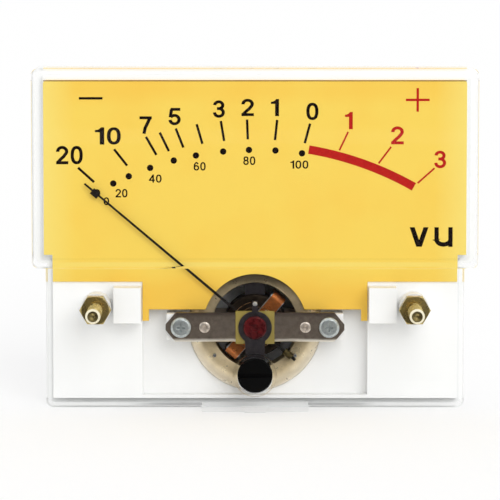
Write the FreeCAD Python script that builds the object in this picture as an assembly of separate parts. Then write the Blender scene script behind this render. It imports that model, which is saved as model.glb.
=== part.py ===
"""Level meter with a moving-coil movement behind a stepped clear cover.

Millimetres. X runs to the right, Y from the front to the back, Z up.
The origin is under the middle of the meter, at the height of its foot.
"""
import FreeCAD, Part
import math
import os
from FreeCAD import Vector

# Whole meter
STUD_PROUD = 7.8          # stud tips in front of the window
BODY_DEPTH = 28.4         # window face to the back of the tub
TAG_PROUD = 6.0           # solder tags behind the tub
WINDOW_Y = STUD_PROUD - (STUD_PROUD + BODY_DEPTH + TAG_PROUD) / 2
BACK_Y = WINDOW_Y + BODY_DEPTH
PIVOT_Z = 16.6            # axis of the movement
STUD_Z = 20.6
STUD_X = 63.5 / 2         # two and a half inches between the studs

# Clear cover
WINDOW_HALF = 44.1
WINDOW_LOW = 29.2
WINDOW_TOP = 68.8
WINDOW_WALL = 1.6
SHELF_Y = WINDOW_Y + 5.0
SHELF_HALF = 41.7
SHELF_WALL = 1.0
SHELF_LOW = 0.8
COVER_BACK_Y = WINDOW_Y + 14.0
CORNER_R = 1.4
EDGE_R = 0.45
FOOT_HALF = 10.7
TONGUE_HALF = 2.7

# Zero adjuster in its boss
ADJUSTER_Z = 7.4
ADJUSTER_R = 3.5
BOSS_R = 4.25
BOSS_PROUD = 1.3
NECK_R = 1.9
RUNNING = 0.05            # radial clearance of a turning fit
PIN_OFFSET = 1.0
PIN_R = 0.5

# Dial
DIAL_Y = WINDOW_Y + 12.0
DIAL_THICK = 0.4
DIAL_HALF = 42.3
DIAL_TOP = 66.05
DIAL_STEP = 31.0
DIAL_LOWER_HALF = 40.6
DIAL_EAR_LOW = 25.5
DIAL_MIDDLE_HALF = 22.6
DIAL_MIDDLE_LOW = 19.9
DIAL_LEG_WIDE = 1.3
DIAL_LEG_LOW = 17.6
DIAL_CUT_R = 10.45

# Base
DECK_Y = DIAL_Y + DIAL_THICK
FLANGE_Y = COVER_BACK_Y
FLANGE_THICK = 1.6
TUB_HALF = 24.0
TUB_WALL = 1.4
TUB_TOP = 48.5
TUB_LOW = 1.2
TUB_FLOOR = 1.8
POST_X = 14.85
POST_IN = 13.9
POST_OUT = 17.7
POST_HALF_Z = 2.6
CRADLE_TOP = 25.0         # wall that the movement's ring sits in
CRADLE_THICK = 1.6
BLOCK_IN = 22.8
BLOCK_OUT = 31.3
BLOCK_LOW = 17.6
BLOCK_HIGH = 24.7
PILLAR_R = 3.0

# Bridge and bearings
BRIDGE_Y = WINDOW_Y + 8.75
BRIDGE_THICK = 1.2
BRIDGE_HALF = 17.9
BRIDGE_HALF_Z = 2.95
BRIDGE_POINT = 2.0        # length of the pointed ends
BRIDGE_POINT_HALF = 0.55
INSULATOR_THICK = 0.4
INSULATOR_HALF = 3.9
LEVER_THICK = 0.4
LEVER_Y = BRIDGE_Y - INSULATOR_THICK - RUNNING - LEVER_THICK
LEVER_R = 3.35
JEWEL_HEAD_R = 2.35
JOURNAL_R = 2.0
THREAD_R = 1.5
SCREW_R = 1.0
SCREW_HEAD_R = 2.05
SCREW_HEAD_HIGH = 1.2
SCREW_LONG = 7.5
RIVET_X = 10.1
RIVET_R = 0.6
RIVET_HEAD_R = 0.85
RIVET_SHOULDER_R = 1.3
JEWEL_R = 0.9
JEWEL_THICK = 0.7
JEWEL_BORE_R = 0.26
JEWEL_FRONT_Y = BRIDGE_Y + BRIDGE_THICK
PIVOT_R = 0.2

# Magnet system
RING_Y = WINDOW_Y + 13.0
RING_DEPTH = 7.4
RING_R = 13.4
RING_BORE_R = 8.6
RING_FLAT_R = 10.8
RING_ROUND = 2.6
CORE_R = 6.3
CORE_DEPTH = 7.0
CORE_Y = RING_Y + 0.2
SPACER_HALF = 2.0

# Coil: its long side lies across the pointer
COIL_INNER = 6.6
FORMER_THICK = 0.2
WINDING_THICK = 1.1
WINDING_HALF = 1.35
FLANGE_LIP = 0.15
COIL_FRONT_Y = WINDOW_Y + 11.6
COIL_BACK_Y = WINDOW_Y + 21.8

# Pointer
REST_ANGLE = 49.8         # degrees left of upright
SWING = 100.0
NEEDLE_Y = WINDOW_Y + 10.85
NEEDLE_THICK = 0.25
NEEDLE_TIP = 44.6
NEEDLE_ROOT_HALF = 0.3
NEEDLE_TIP_HALF = 0.19
NEEDLE_TAIL = 10.6
FLAG_AT = 41.7
FLAG_LONG = 1.7
FLAG_LEFT = 0.8
FLAG_RIGHT = 0.55
STOP_RADIUS = 10.0
STOP_R = 0.35

# Hairsprings
SPRING_WIDE = 0.25
SPRING_THICK = 0.12
SPRING_INNER = 1.0
SPRING_PITCH = 1.0
SPRING_TURNS = 4
SPRING_STEPS = 12         # straight lengths in half a turn
SPRING_TAB_LOW = 4.8
SPRING_TAB_HIGH = 5.3
FRONT_SPRING_Y = WINDOW_Y + 10.1
REAR_SPRING_Y = WINDOW_Y + 22.15

# Rear bridge
REAR_BRIDGE_Y = WINDOW_Y + 22.9
REAR_BRIDGE_HALF = 12.6
REAR_BRIDGE_HALF_Z = 2.5
REAR_JEWEL_Y = REAR_BRIDGE_Y - 0.2
REAR_NUT_FLATS = 5.0

# Studs and nuts
NUT_FLATS = 5.5
NUT_THICK = 2.4
SHANK_R = 1.34            # behind the free thread, and at the threads inside the nuts
STUD_HEAD_R = 2.75
STUD_HEAD_THICK = 2.0

# Rectifier board and tags
BOARD_Y = WINDOW_Y + 24.9
BOARD_THICK = 1.0
BOARD_HALF = 20.0
BOARD_LOW = 33.5
BOARD_HIGH = 44.5
PEG_R = 1.5
PEG_X = 8.5
TAG_X = 15.0
TAG_Z = 39.0
TAG_HALF = 1.4
TAG_THICK = 0.5
DIODE_R = 0.9
DIODE_LONG = 3.6
LEAD_HALF = 0.22


def box(x0, x1, y0, y1, z0, z1):
    """Block between two corners."""
    return Part.makeBox(x1 - x0, y1 - y0, z1 - z0, Vector(x0, y0, z0))


def disc(x, z, radius, y0, y1):
    """Cylinder along Y between two depths."""
    return Part.makeCylinder(radius, y1 - y0, Vector(x, y0, z), Vector(0, 1, 0))


def prism(corners, y0, y1):
    """Straight-sided outline in X and Z, carried from one depth to another."""
    points = [Vector(x, y0, z) for x, z in corners]
    wire = Part.makePolygon(points + points[:1])
    return Part.Face(wire).extrude(Vector(0, y1 - y0, 0))


def turned(x, z, profile):
    """Solid of revolution about Y, from (radius, depth) points."""
    points = [Vector(x + radius, depth, z) for radius, depth in profile]
    face = Part.Face(Part.makePolygon(points + points[:1]))
    return face.revolve(Vector(x, 0, z), Vector(0, 1, 0), 360)


def rounded_block(half_x, y0, y1, z0, z1, corner, edge):
    """Block with rounded corners and, if asked for, a bevelled front rim."""
    block = box(-half_x, half_x, y0, y1, z0, z1)
    corners = [e for e in block.Edges if e.BoundBox.YLength > (y1 - y0) * 0.9]
    block = block.makeFillet(corner, corners)
    if edge:
        rim = [e for e in block.Edges if e.BoundBox.YMax < y0 + 1e-4]
        block = block.makeChamfer(edge, rim)
    return block


def small_rod(x, z, radius, y0, y1):
    """Eight-sided rod along Y, for pins too fine to need a round section."""
    turns = [math.radians(45 * k + 22.5) for k in range(8)]
    return prism([(x + radius * math.cos(a), z + radius * math.sin(a)) for a in turns], y0, y1)


def cross_rod(x0, x1, y, z, radius):
    """Eight-sided rod along X."""
    turns = [math.radians(45 * k + 22.5) for k in range(8)]
    corners = [Vector(x0, y + radius * math.cos(a), z + radius * math.sin(a)) for a in turns]
    return Part.Face(Part.makePolygon(corners + corners[:1])).extrude(Vector(x1 - x0, 0, 0))


def mirrored(shape):
    """The same shape on the other side of the middle plane."""
    return shape.mirror(Vector(0, 0, 0), Vector(1, 0, 0))


def pair(shape):
    """A shape and its mirror image, as separate solids."""
    return Part.makeCompound([shape, mirrored(shape)])


def on_coil(shape):
    """Turn a shape from upright to where the pointer rests."""
    turned_shape = shape.copy()
    turned_shape.rotate(Vector(0, 0, PIVOT_Z), Vector(0, 1, 0), -REST_ANGLE)
    return turned_shape


def hexagon(x, z, flats, y0, y1):
    """Hexagonal prism with flats at its top and bottom."""
    corner = flats / math.sqrt(3)
    turns = [math.radians(60 * k) for k in range(6)]
    return prism([(x + corner * math.cos(a), z + corner * math.sin(a)) for a in turns], y0, y1)


def hex_nut(x, z, flats, bore, y0, y1):
    """Nut with its front face chamfered."""
    corner = flats / math.sqrt(3)
    chamfer = corner - flats / 2
    rim = [(0, y0), (flats / 2, y0), (corner, y0 + chamfer * 0.6), (corner, y1), (0, y1)]
    body = hexagon(x, z, flats, y0, y1).common(turned(x, z, rim))
    return body.cut(disc(x, z, bore, y0 - 1, y1 + 1))


def front_cover():
    """Clear moulding: proud window above, shelf and adjuster boss below."""
    back = COVER_BACK_Y
    window = rounded_block(WINDOW_HALF, WINDOW_Y, back, WINDOW_LOW, WINDOW_TOP, CORNER_R, EDGE_R)
    shelf = rounded_block(SHELF_HALF, SHELF_Y, back, SHELF_LOW, WINDOW_LOW + 3, CORNER_R, EDGE_R)
    foot = box(-FOOT_HALF, FOOT_HALF, SHELF_Y, back, 0, SHELF_LOW + 0.5)
    tip_half = TONGUE_HALF - 0.5
    tongue = prism([(-TONGUE_HALF, 1.0), (-tip_half, 0), (tip_half, 0), (TONGUE_HALF, 1.0)],
                   SHELF_Y - 1.4, SHELF_Y + 1)
    boss = disc(0, ADJUSTER_Z, BOSS_R, SHELF_Y - BOSS_PROUD, SHELF_Y + 2.0)
    cover = window.fuse([shelf, foot, tongue, boss])
    inner = WINDOW_HALF - WINDOW_WALL
    upper_room = rounded_block(inner, WINDOW_Y + WINDOW_WALL, back + 1,
                               WINDOW_LOW + WINDOW_WALL, WINDOW_TOP - WINDOW_WALL, CORNER_R / 2, 0)
    lower_half = SHELF_HALF - SHELF_WALL
    lower_room = box(-lower_half, lower_half, SHELF_Y + WINDOW_WALL, back + 1,
                     SHELF_LOW + SHELF_WALL, WINDOW_LOW + WINDOW_WALL)
    kept_boss = disc(0, ADJUSTER_Z, BOSS_R, SHELF_Y, SHELF_Y + 2.0)
    cover = cover.cut([upper_room, lower_room.cut(kept_boss)])
    seat = disc(0, ADJUSTER_Z, ADJUSTER_R + RUNNING, SHELF_Y - BOSS_PROUD - 1, SHELF_Y + 1.0)
    neck = disc(0, ADJUSTER_Z, NECK_R + RUNNING, SHELF_Y, SHELF_Y + 3)
    stud_hole = disc(STUD_X, STUD_Z, THREAD_R + 0.2, SHELF_Y - 1, SHELF_Y + 3)
    return cover.cut([seat, neck, stud_hole, mirrored(stud_hole)]).removeSplitter()


def zero_adjuster():
    """Slotted disc that turns in the boss, with split barbs and an eccentric pin."""
    face = SHELF_Y - 1.0
    seat = SHELF_Y + 1.0 - RUNNING
    behind = SHELF_Y + 2.0 + RUNNING
    end = behind + 0.5
    profile = [(0, face), (ADJUSTER_R - 0.3, face), (ADJUSTER_R, face + 0.3), (ADJUSTER_R, seat),
               (NECK_R, seat), (NECK_R, behind), (NECK_R + 0.35, behind),
               (NECK_R + 0.05, end), (0, end)]
    body = turned(0, ADJUSTER_Z, profile)
    slot = box(-ADJUSTER_R, ADJUSTER_R, face - 1, face + 0.7, ADJUSTER_Z - 0.4, ADJUSTER_Z + 0.4)
    split = box(-ADJUSTER_R, ADJUSTER_R, seat + 0.3, end + 1, ADJUSTER_Z - 0.3, ADJUSTER_Z + 0.3)
    pin = disc(0, ADJUSTER_Z + PIN_OFFSET, PIN_R, end - 0.2, LEVER_Y + LEVER_THICK + 0.2)
    return body.cut([slot, split]).fuse(pin)


def zero_lever():
    """Ring round the jewel screw, fork over the adjuster's pin, arm to the spring."""
    back = LEVER_Y + LEVER_THICK
    ring = disc(0, PIVOT_Z, LEVER_R, LEVER_Y, back)
    fork_low = ADJUSTER_Z + PIN_OFFSET - 1.1
    stem_top = PIVOT_Z - 2
    stem = prism([(-2.1, stem_top), (-1.55, fork_low), (1.55, fork_low), (2.1, stem_top)], LEVER_Y, back)
    high = PIVOT_Z + SPRING_TAB_HIGH
    arm = box(-0.6, 0.6, LEVER_Y, back, PIVOT_Z + 2.5, high)
    tab = box(-0.6, 0.6, LEVER_Y, FRONT_SPRING_Y + SPRING_WIDE + 0.1, PIVOT_Z + SPRING_TAB_LOW, high)
    lever = ring.fuse([stem, arm, tab])
    bore = disc(0, PIVOT_Z, JOURNAL_R + RUNNING, LEVER_Y - 1, back + 1)
    slot_half = PIN_R + 0.12
    slot = box(-slot_half, slot_half, LEVER_Y - 1, back + 1, fork_low - 1, ADJUSTER_Z + PIN_OFFSET + 1.0)
    return lever.cut([bore, slot, front_hairspring()]).removeSplitter()


def dial_plate():
    """Printed plate: wide top, ears beside the blocks, middle with two legs and a round cut-out."""
    leg_in = DIAL_MIDDLE_HALF - DIAL_LEG_WIDE
    half = [(DIAL_HALF, DIAL_TOP), (DIAL_HALF, DIAL_STEP),
            (DIAL_LOWER_HALF, DIAL_STEP), (DIAL_LOWER_HALF, DIAL_EAR_LOW),
            (DIAL_MIDDLE_HALF, DIAL_EAR_LOW), (DIAL_MIDDLE_HALF, DIAL_LEG_LOW),
            (leg_in, DIAL_LEG_LOW), (leg_in, DIAL_MIDDLE_LOW)]
    corners = half + [(-x, z) for x, z in reversed(half)]
    plate = prism(corners, DIAL_Y, DECK_Y)
    tops = [e for e in plate.Edges if e.BoundBox.ZMin > DIAL_TOP - 1e-4]
    plate = plate.makeFillet(0.8, [e for e in tops if e.BoundBox.XLength < 1e-4])
    return plate.cut(disc(0, PIVOT_Z, DIAL_CUT_R, DIAL_Y - 1, DECK_Y + 1))


def base_housing():
    """White moulding: flange, raised deck, rear tub, posts, blocks and stud pillars."""
    flange_back = FLANGE_Y + FLANGE_THICK
    upper = rounded_block(WINDOW_HALF, FLANGE_Y, flange_back, WINDOW_LOW, WINDOW_TOP, CORNER_R, 0)
    lower = rounded_block(SHELF_HALF, FLANGE_Y, flange_back, SHELF_LOW, WINDOW_LOW + 3, CORNER_R, 0)
    deck_half = WINDOW_HALF - WINDOW_WALL - 0.1
    deck_top = WINDOW_TOP - WINDOW_WALL - 0.1
    deck = rounded_block(deck_half, DECK_Y, FLANGE_Y, DIAL_STEP, deck_top, CORNER_R / 2, 0)
    skirt_half = SHELF_HALF - SHELF_WALL - 0.1
    skirt_low = SHELF_LOW + SHELF_WALL + 0.1
    skirt = box(-skirt_half, skirt_half, DECK_Y, FLANGE_Y, skirt_low, DIAL_STEP)
    tub = rounded_block(TUB_HALF, flange_back, BACK_Y, TUB_LOW, TUB_TOP, 2.0, 0)
    back_rim = [e for e in tub.Edges if e.BoundBox.YMin > BACK_Y - 1e-4]
    tub = tub.makeChamfer(0.7, back_rim)
    foot = box(-FOOT_HALF, FOOT_HALF, FLANGE_Y, BACK_Y, 0, TUB_LOW + 0.8)
    body = upper.fuse([lower, deck, skirt, tub, foot])
    floor_y = BACK_Y - TUB_FLOOR
    well_half = TUB_HALF - TUB_WALL
    well = box(-well_half, well_half, DECK_Y - 1, floor_y, TUB_LOW + TUB_WALL, TUB_TOP - TUB_WALL)
    body = body.cut(well)
    post = box(POST_IN, POST_OUT, BRIDGE_Y + BRIDGE_THICK, floor_y + 0.5,
               PIVOT_Z - POST_HALF_Z, PIVOT_Z + POST_HALF_Z)
    shelf_back = SHELF_Y + WINDOW_WALL
    block = box(BLOCK_IN, BLOCK_OUT - PILLAR_R, shelf_back, DECK_Y + 1, BLOCK_LOW, BLOCK_HIGH)
    pillar = disc(STUD_X, STUD_Z, PILLAR_R, shelf_back, DECK_Y + 1)
    peg = disc(PEG_X, TAG_Z, PEG_R, BOARD_Y + BOARD_THICK, floor_y + 0.5)
    added = []
    for shape in (post, block, pillar, peg):
        added += [shape, mirrored(shape)]
    cradle_y = RING_Y + RING_ROUND
    cradle_back = cradle_y + CRADLE_THICK
    cradle = box(-well_half - 0.5, well_half + 0.5, cradle_y, cradle_back, TUB_LOW + 0.5, CRADLE_TOP)
    added.append(cradle.cut(disc(0, PIVOT_Z, RING_R + RUNNING, cradle_y - 1, cradle_back + 1)))
    body = body.fuse(added)
    holes = []
    for side in (-1, 1):
        holes.append(disc(side * STUD_X, STUD_Z, THREAD_R + 0.1, shelf_back - 1, flange_back + 1))
        holes.append(small_rod(side * POST_X, PIVOT_Z, SCREW_R, BRIDGE_Y, BRIDGE_Y + 8.0))
        holes.append(tag_slot(side, floor_y - 1, BACK_Y + 1))
    return body.cut(holes).removeSplitter()


def tag_slot(side, y0, y1):
    """Room for one of the tags' blades."""
    middle = side * TAG_X
    return box(middle - TAG_THICK / 2, middle + TAG_THICK / 2, y0, y1, TAG_Z - TAG_HALF, TAG_Z + TAG_HALF)


def front_bridge():
    """Flat bar over the movement, with pointed ends."""
    back = BRIDGE_Y + BRIDGE_THICK
    shoulder = BRIDGE_HALF - BRIDGE_POINT
    half = [(shoulder, PIVOT_Z - BRIDGE_HALF_Z), (BRIDGE_HALF, PIVOT_Z - BRIDGE_POINT_HALF),
            (BRIDGE_HALF, PIVOT_Z + BRIDGE_POINT_HALF), (shoulder, PIVOT_Z + BRIDGE_HALF_Z)]
    bar = prism(half + [(-x, z) for x, z in reversed(half)], BRIDGE_Y, back)
    holes = [disc(0, PIVOT_Z, THREAD_R, BRIDGE_Y - 1, back + 1)]
    for side in (-1, 1):
        holes.append(disc(side * POST_X, PIVOT_Z, SCREW_R + 0.1, BRIDGE_Y - 1, back + 1))
        holes.append(small_rod(side * RIVET_X, PIVOT_Z, RIVET_R, BRIDGE_Y - 1, back + 1))
    return bar.cut(holes)


def bridge_insulator():
    """Moulded clip that keeps the lever off the bar."""
    front = BRIDGE_Y - INSULATOR_THICK
    reach = BRIDGE_HALF_Z + 0.35
    half = INSULATOR_HALF
    clip = box(-half, half, front, BRIDGE_Y + 0.6, PIVOT_Z - reach, PIVOT_Z + reach)
    bar_room = box(-half - 1, half + 1, BRIDGE_Y, BRIDGE_Y + 2,
                   PIVOT_Z - BRIDGE_HALF_Z, PIVOT_Z + BRIDGE_HALF_Z)
    return clip.cut([bar_room, disc(0, PIVOT_Z, THREAD_R, front - 1, BRIDGE_Y + 1)])


def jewel_recess(y0, y1):
    """Room for a jewel at the end of its screw."""
    return small_rod(0, PIVOT_Z, JEWEL_R, y0, y1)


def front_jewel_screw():
    """Lacquered head that keeps the lever on, journal, thread and jewel seat."""
    journal_back = BRIDGE_Y - INSULATOR_THICK
    head_back = LEVER_Y - RUNNING
    face = head_back - 0.6
    end = JEWEL_FRONT_Y
    profile = [(0, face), (JEWEL_HEAD_R - 0.25, face), (JEWEL_HEAD_R, face + 0.25),
               (JEWEL_HEAD_R, head_back), (JOURNAL_R, head_back), (JOURNAL_R, journal_back),
               (THREAD_R, journal_back), (THREAD_R, end), (0, end)]
    socket = hexagon(0, PIVOT_Z, 1.5, face - 1, face + 0.5)
    return turned(0, PIVOT_Z, profile).cut([socket, jewel_recess(end - JEWEL_THICK, end + 1)])


def jewel(open_y, closed_y):
    """Cup bearing whose bore opens towards the coil."""
    low, high = sorted((open_y, closed_y))
    bottom = closed_y + (open_y - closed_y) * 0.3
    bore_low, bore_high = sorted((bottom, open_y + (open_y - closed_y)))
    bore = small_rod(0, PIVOT_Z, JEWEL_BORE_R, bore_low, bore_high)
    return small_rod(0, PIVOT_Z, JEWEL_R, low, high).cut(bore)


def front_jewel():
    """Front bearing."""
    return jewel(JEWEL_FRONT_Y, JEWEL_FRONT_Y - JEWEL_THICK)


def rear_jewel():
    """Rear bearing."""
    return jewel(REAR_JEWEL_Y, REAR_JEWEL_Y + JEWEL_THICK)


def rear_jewel_screw():
    """Headless screw through the rear bridge, slotted behind."""
    front = REAR_JEWEL_Y
    end = REAR_BRIDGE_Y + 3.0
    profile = [(0, front), (THREAD_R, front), (THREAD_R, end - 0.3), (THREAD_R - 0.3, end), (0, end)]
    screw = turned(0, PIVOT_Z, profile)
    slot = box(-THREAD_R, THREAD_R, end - 0.6, end + 1, PIVOT_Z - 0.25, PIVOT_Z + 0.25)
    return screw.cut([slot, jewel_recess(front - 1, front + JEWEL_THICK)])


def rear_lock_nut():
    """Thin nut that locks the rear jewel screw."""
    front = REAR_BRIDGE_Y + BRIDGE_THICK
    nut = hexagon(0, PIVOT_Z, REAR_NUT_FLATS, front, front + 1.2)
    return nut.cut(disc(0, PIVOT_Z, THREAD_R, front - 1, front + 2))


def bridge_screws():
    """Two cheese heads with a cross recess, threaded into the posts."""
    face = BRIDGE_Y - SCREW_HEAD_HIGH
    end = BRIDGE_Y + SCREW_LONG
    head = turned(POST_X, PIVOT_Z, [(0, face), (SCREW_HEAD_R * 0.7, face), (SCREW_HEAD_R, face + 0.5),
                                    (SCREW_HEAD_R, BRIDGE_Y), (0, BRIDGE_Y)])
    screw = head.fuse(small_rod(POST_X, PIVOT_Z, SCREW_R, BRIDGE_Y - 0.2, end))
    for half_x, half_z in ((0.85, 0.2), (0.2, 0.85)):
        screw = screw.cut(box(POST_X - half_x, POST_X + half_x, face - 1, face + 0.65,
                              PIVOT_Z - half_z, PIVOT_Z + half_z))
    return pair(screw)


def shouldered_rivet(plate_face, plate_back, ring_face, ring_inside):
    """Rivet with its head on the bridge, a shoulder up to the ring and a tail in it."""
    outward = 1 if plate_face > plate_back else -1
    head = disc(RIVET_X, PIVOT_Z, RIVET_HEAD_R, *sorted((plate_face, plate_face + 0.2 * outward)))
    shank = small_rod(RIVET_X, PIVOT_Z, RIVET_R, *sorted((plate_face + 0.1 * outward, ring_inside)))
    shoulder = small_rod(RIVET_X, PIVOT_Z, RIVET_SHOULDER_R, *sorted((plate_back, ring_face)))
    return pair(head.fuse([shank, shoulder]))


def front_rivets():
    """Two rivets between the front bridge and the ring."""
    return shouldered_rivet(BRIDGE_Y, BRIDGE_Y + BRIDGE_THICK, RING_Y, RING_Y + 1.2)


def rear_rivets():
    """Two rivets between the ring and the rear bridge."""
    ring_back = RING_Y + RING_DEPTH
    return shouldered_rivet(REAR_BRIDGE_Y + BRIDGE_THICK, REAR_BRIDGE_Y, ring_back, ring_back - 1.2)


def yoke_ring():
    """Soft-iron ring with a rounded front rim and the rivet holes."""
    back = RING_Y + RING_DEPTH
    turns = [math.radians(30 * k) for k in range(4)]
    rim = [(RING_FLAT_R + RING_ROUND * math.sin(a), RING_Y + RING_ROUND * (1 - math.cos(a))) for a in turns]
    profile = [(RING_BORE_R, RING_Y)] + rim + [(RING_R, back), (RING_BORE_R, back)]
    ring = turned(0, PIVOT_Z, profile)
    holes = []
    for side in (-1, 1):
        holes.append(small_rod(side * RIVET_X, PIVOT_Z, RIVET_R, RING_Y - 1, RING_Y + 1.2))
        holes.append(small_rod(side * RIVET_X, PIVOT_Z, RIVET_R, back - 1.2, back + 1))
    for x, z in stop_places():
        holes.append(small_rod(x, z, STOP_R, RING_Y - 1, RING_Y + 1.0))
    return ring.cut(holes)


def core_magnet():
    """Magnet inside the coil, its front end bevelled."""
    back = CORE_Y + CORE_DEPTH
    return turned(0, PIVOT_Z, [(0, CORE_Y), (CORE_R - 0.3, CORE_Y), (CORE_R, CORE_Y + 0.3),
                               (CORE_R, back), (0, back)])


def core_spacers():
    """Blocks above and below the core, where the coil never passes."""
    gap = disc(0, PIVOT_Z, RING_BORE_R, CORE_Y + 0.8, CORE_Y + CORE_DEPTH - 0.8)
    gap = gap.cut(disc(0, PIVOT_Z, CORE_R, CORE_Y, CORE_Y + CORE_DEPTH))
    reach = RING_BORE_R + 1
    upper = gap.common(box(-SPACER_HALF, SPACER_HALF, CORE_Y, CORE_Y + CORE_DEPTH, PIVOT_Z, PIVOT_Z + reach))
    lower = gap.common(box(-SPACER_HALF, SPACER_HALF, CORE_Y, CORE_Y + CORE_DEPTH, PIVOT_Z - reach, PIVOT_Z))
    return Part.makeCompound([upper, lower])


def coil_loop(outer, inner, half_z):
    """Rounded rectangular loop round the core, between two outlines given by their growth."""
    loops = []
    for grow in (outer, inner):
        front = COIL_FRONT_Y + WINDING_THICK + FORMER_THICK - grow
        back = COIL_BACK_Y - WINDING_THICK - FORMER_THICK + grow
        half_x = COIL_INNER + grow
        block = box(-half_x, half_x, front, back, PIVOT_Z - half_z, PIVOT_Z + half_z)
        uprights = [e for e in block.Edges if e.BoundBox.ZLength > half_z]
        if grow:
            block = block.makeFillet(0.2 + grow * 0.7, uprights)
        loops.append(block)
    return loops[0].cut(loops[1])


def coil_winding():
    """Wound bundle on the former."""
    return on_coil(coil_loop(FORMER_THICK + WINDING_THICK, FORMER_THICK, WINDING_HALF))


def coil_former():
    """Thin channel under the winding, with a lip along each face."""
    inner = coil_loop(FORMER_THICK, 0, WINDING_HALF + FLANGE_LIP)
    lip_grow = FORMER_THICK + 0.45
    lips = coil_loop(lip_grow, FORMER_THICK, WINDING_HALF + FLANGE_LIP)
    lips = lips.cut(coil_loop(lip_grow + 1, FORMER_THICK - 0.1, WINDING_HALF))
    return on_coil(inner.fuse(lips).removeSplitter())


def needle_outline():
    """Half outline of the needle, from tail to tip."""
    return [(NEEDLE_ROOT_HALF, -NEEDLE_TAIL), (NEEDLE_ROOT_HALF, 0), (NEEDLE_TIP_HALF, NEEDLE_TIP)]


def needle_room(z0, z1):
    """Groove that the needle's root fills, between two heights from the pivot."""
    half = NEEDLE_ROOT_HALF
    return box(-half, half, NEEDLE_Y, NEEDLE_Y + NEEDLE_THICK, PIVOT_Z + z0, PIVOT_Z + z1)


def pointer():
    """Needle with an oblong flag and a tail, thin in depth."""
    half = [(x, PIVOT_Z + z) for x, z in needle_outline()]
    corners = half + [(-x, z) for x, z in reversed(half)]
    needle = prism(corners, NEEDLE_Y, NEEDLE_Y + NEEDLE_THICK)
    low = PIVOT_Z + FLAG_AT - FLAG_LONG / 2
    flag = box(-FLAG_LEFT, FLAG_RIGHT, NEEDLE_Y, NEEDLE_Y + NEEDLE_THICK, low, low + FLAG_LONG)
    return on_coil(needle.fuse(flag).removeSplitter())


def pointer_boss():
    """Hub with two short balance arms, notched for the needle."""
    collet = WINDOW_Y + 10.15
    flange = NEEDLE_Y - 0.1
    seat = NEEDLE_Y + NEEDLE_THICK + 0.15
    hub = small_rod(0, PIVOT_Z, 0.8, collet, COIL_FRONT_Y)
    hub = hub.fuse([disc(0, PIVOT_Z, 1.5, flange, seat), small_rod(0, PIVOT_Z, 1.2, seat, COIL_FRONT_Y)])
    arms = box(-4.2, 4.2, flange, seat, PIVOT_Z - 0.35, PIVOT_Z + 0.35)
    groove = needle_room(-5, 5)
    bore = small_rod(0, PIVOT_Z, PIVOT_R, collet - 1, NEEDLE_Y)
    return on_coil(hub.fuse(arms).cut([groove, bore]))


def rear_boss():
    """Hub behind the coil."""
    flange = small_rod(0, PIVOT_Z, 1.2, COIL_BACK_Y, COIL_BACK_Y + 0.2)
    hub = flange.fuse(small_rod(0, PIVOT_Z, 0.8, COIL_BACK_Y, COIL_BACK_Y + 0.8))
    return hub.cut(small_rod(0, PIVOT_Z, PIVOT_R, COIL_BACK_Y + 0.2, COIL_BACK_Y + 2))


def front_pivot():
    """Hard pin between the front boss and its jewel."""
    tip = JEWEL_FRONT_Y - JEWEL_THICK * 0.55
    return on_coil(small_rod(0, PIVOT_Z, PIVOT_R, tip, NEEDLE_Y))


def rear_pivot():
    """Hard pin between the rear boss and its jewel."""
    tip = REAR_JEWEL_Y + JEWEL_THICK * 0.55
    return small_rod(0, PIVOT_Z, PIVOT_R, COIL_BACK_Y + 0.2, tip)


def tail_weight():
    """Brass sleeve clinched on the tail."""
    middle = NEEDLE_Y + NEEDLE_THICK / 2
    sleeve = Part.makeCylinder(0.7, 1.9, Vector(0, middle, PIVOT_Z - 9.6), Vector(0, 0, 1))
    return on_coil(sleeve.cut(needle_room(-12, 0)))


def side_weights():
    """Two small sleeves on the arms of the boss."""
    flange = NEEDLE_Y - 0.1
    seat = NEEDLE_Y + NEEDLE_THICK + 0.15
    sleeve = cross_rod(2.9, 3.9, (flange + seat) / 2, PIVOT_Z, 0.55)
    arm = box(0, 5, flange, seat, PIVOT_Z - 0.35, PIVOT_Z + 0.35)
    return on_coil(pair(sleeve.cut(arm)))


def stop_places():
    """Where the two stop pins stand, just past the tail at each end of its swing."""
    lean = math.degrees(math.asin((NEEDLE_ROOT_HALF + STOP_R + 0.03) / STOP_RADIUS))
    places = []
    for angle in (REST_ANGLE + lean, REST_ANGLE - SWING - lean):
        turn = math.radians(angle)
        places.append((STOP_RADIUS * math.sin(turn), PIVOT_Z - STOP_RADIUS * math.cos(turn)))
    return places


def pointer_stops():
    """Two pins in the ring that catch the tail."""
    pins = [small_rod(x, z, STOP_R, NEEDLE_Y - 0.4, RING_Y + 1.0) for x, z in stop_places()]
    return Part.makeCompound(pins)


def spiral_points(offset):
    """Corners of a spiral of short straight lengths, moved sideways by the offset."""
    points = []
    radius = SPRING_INNER
    side = 1
    start_x = radius
    for _ in range(SPRING_TURNS * 2):
        centre = start_x - side * radius
        for k in range(SPRING_STEPS):
            turn = math.pi * k / SPRING_STEPS
            r = side * (radius + offset)
            points.append((centre + r * math.cos(turn), r * math.sin(turn)))
        start_x = centre - side * radius
        radius += SPRING_PITCH / 2
        side = -side
    points.append((start_x + side * offset, 0))
    return points


def hairspring(y0, turn):
    """Flat spiral strip, its outer end turned to the given angle."""
    outline = spiral_points(SPRING_THICK / 2) + spiral_points(-SPRING_THICK / 2)[::-1]
    strip = prism(outline, y0, y0 + SPRING_WIDE)
    strip.rotate(Vector(0, 0, 0), Vector(0, 1, 0), turn)
    strip.translate(Vector(0, 0, PIVOT_Z))
    return strip


def front_hairspring():
    """Spring between the lever's tab and the front boss."""
    return hairspring(FRONT_SPRING_Y, -90)


def rear_hairspring():
    """Spring between the fixed arm and the rear boss."""
    return hairspring(REAR_SPRING_Y, -90)


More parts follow.
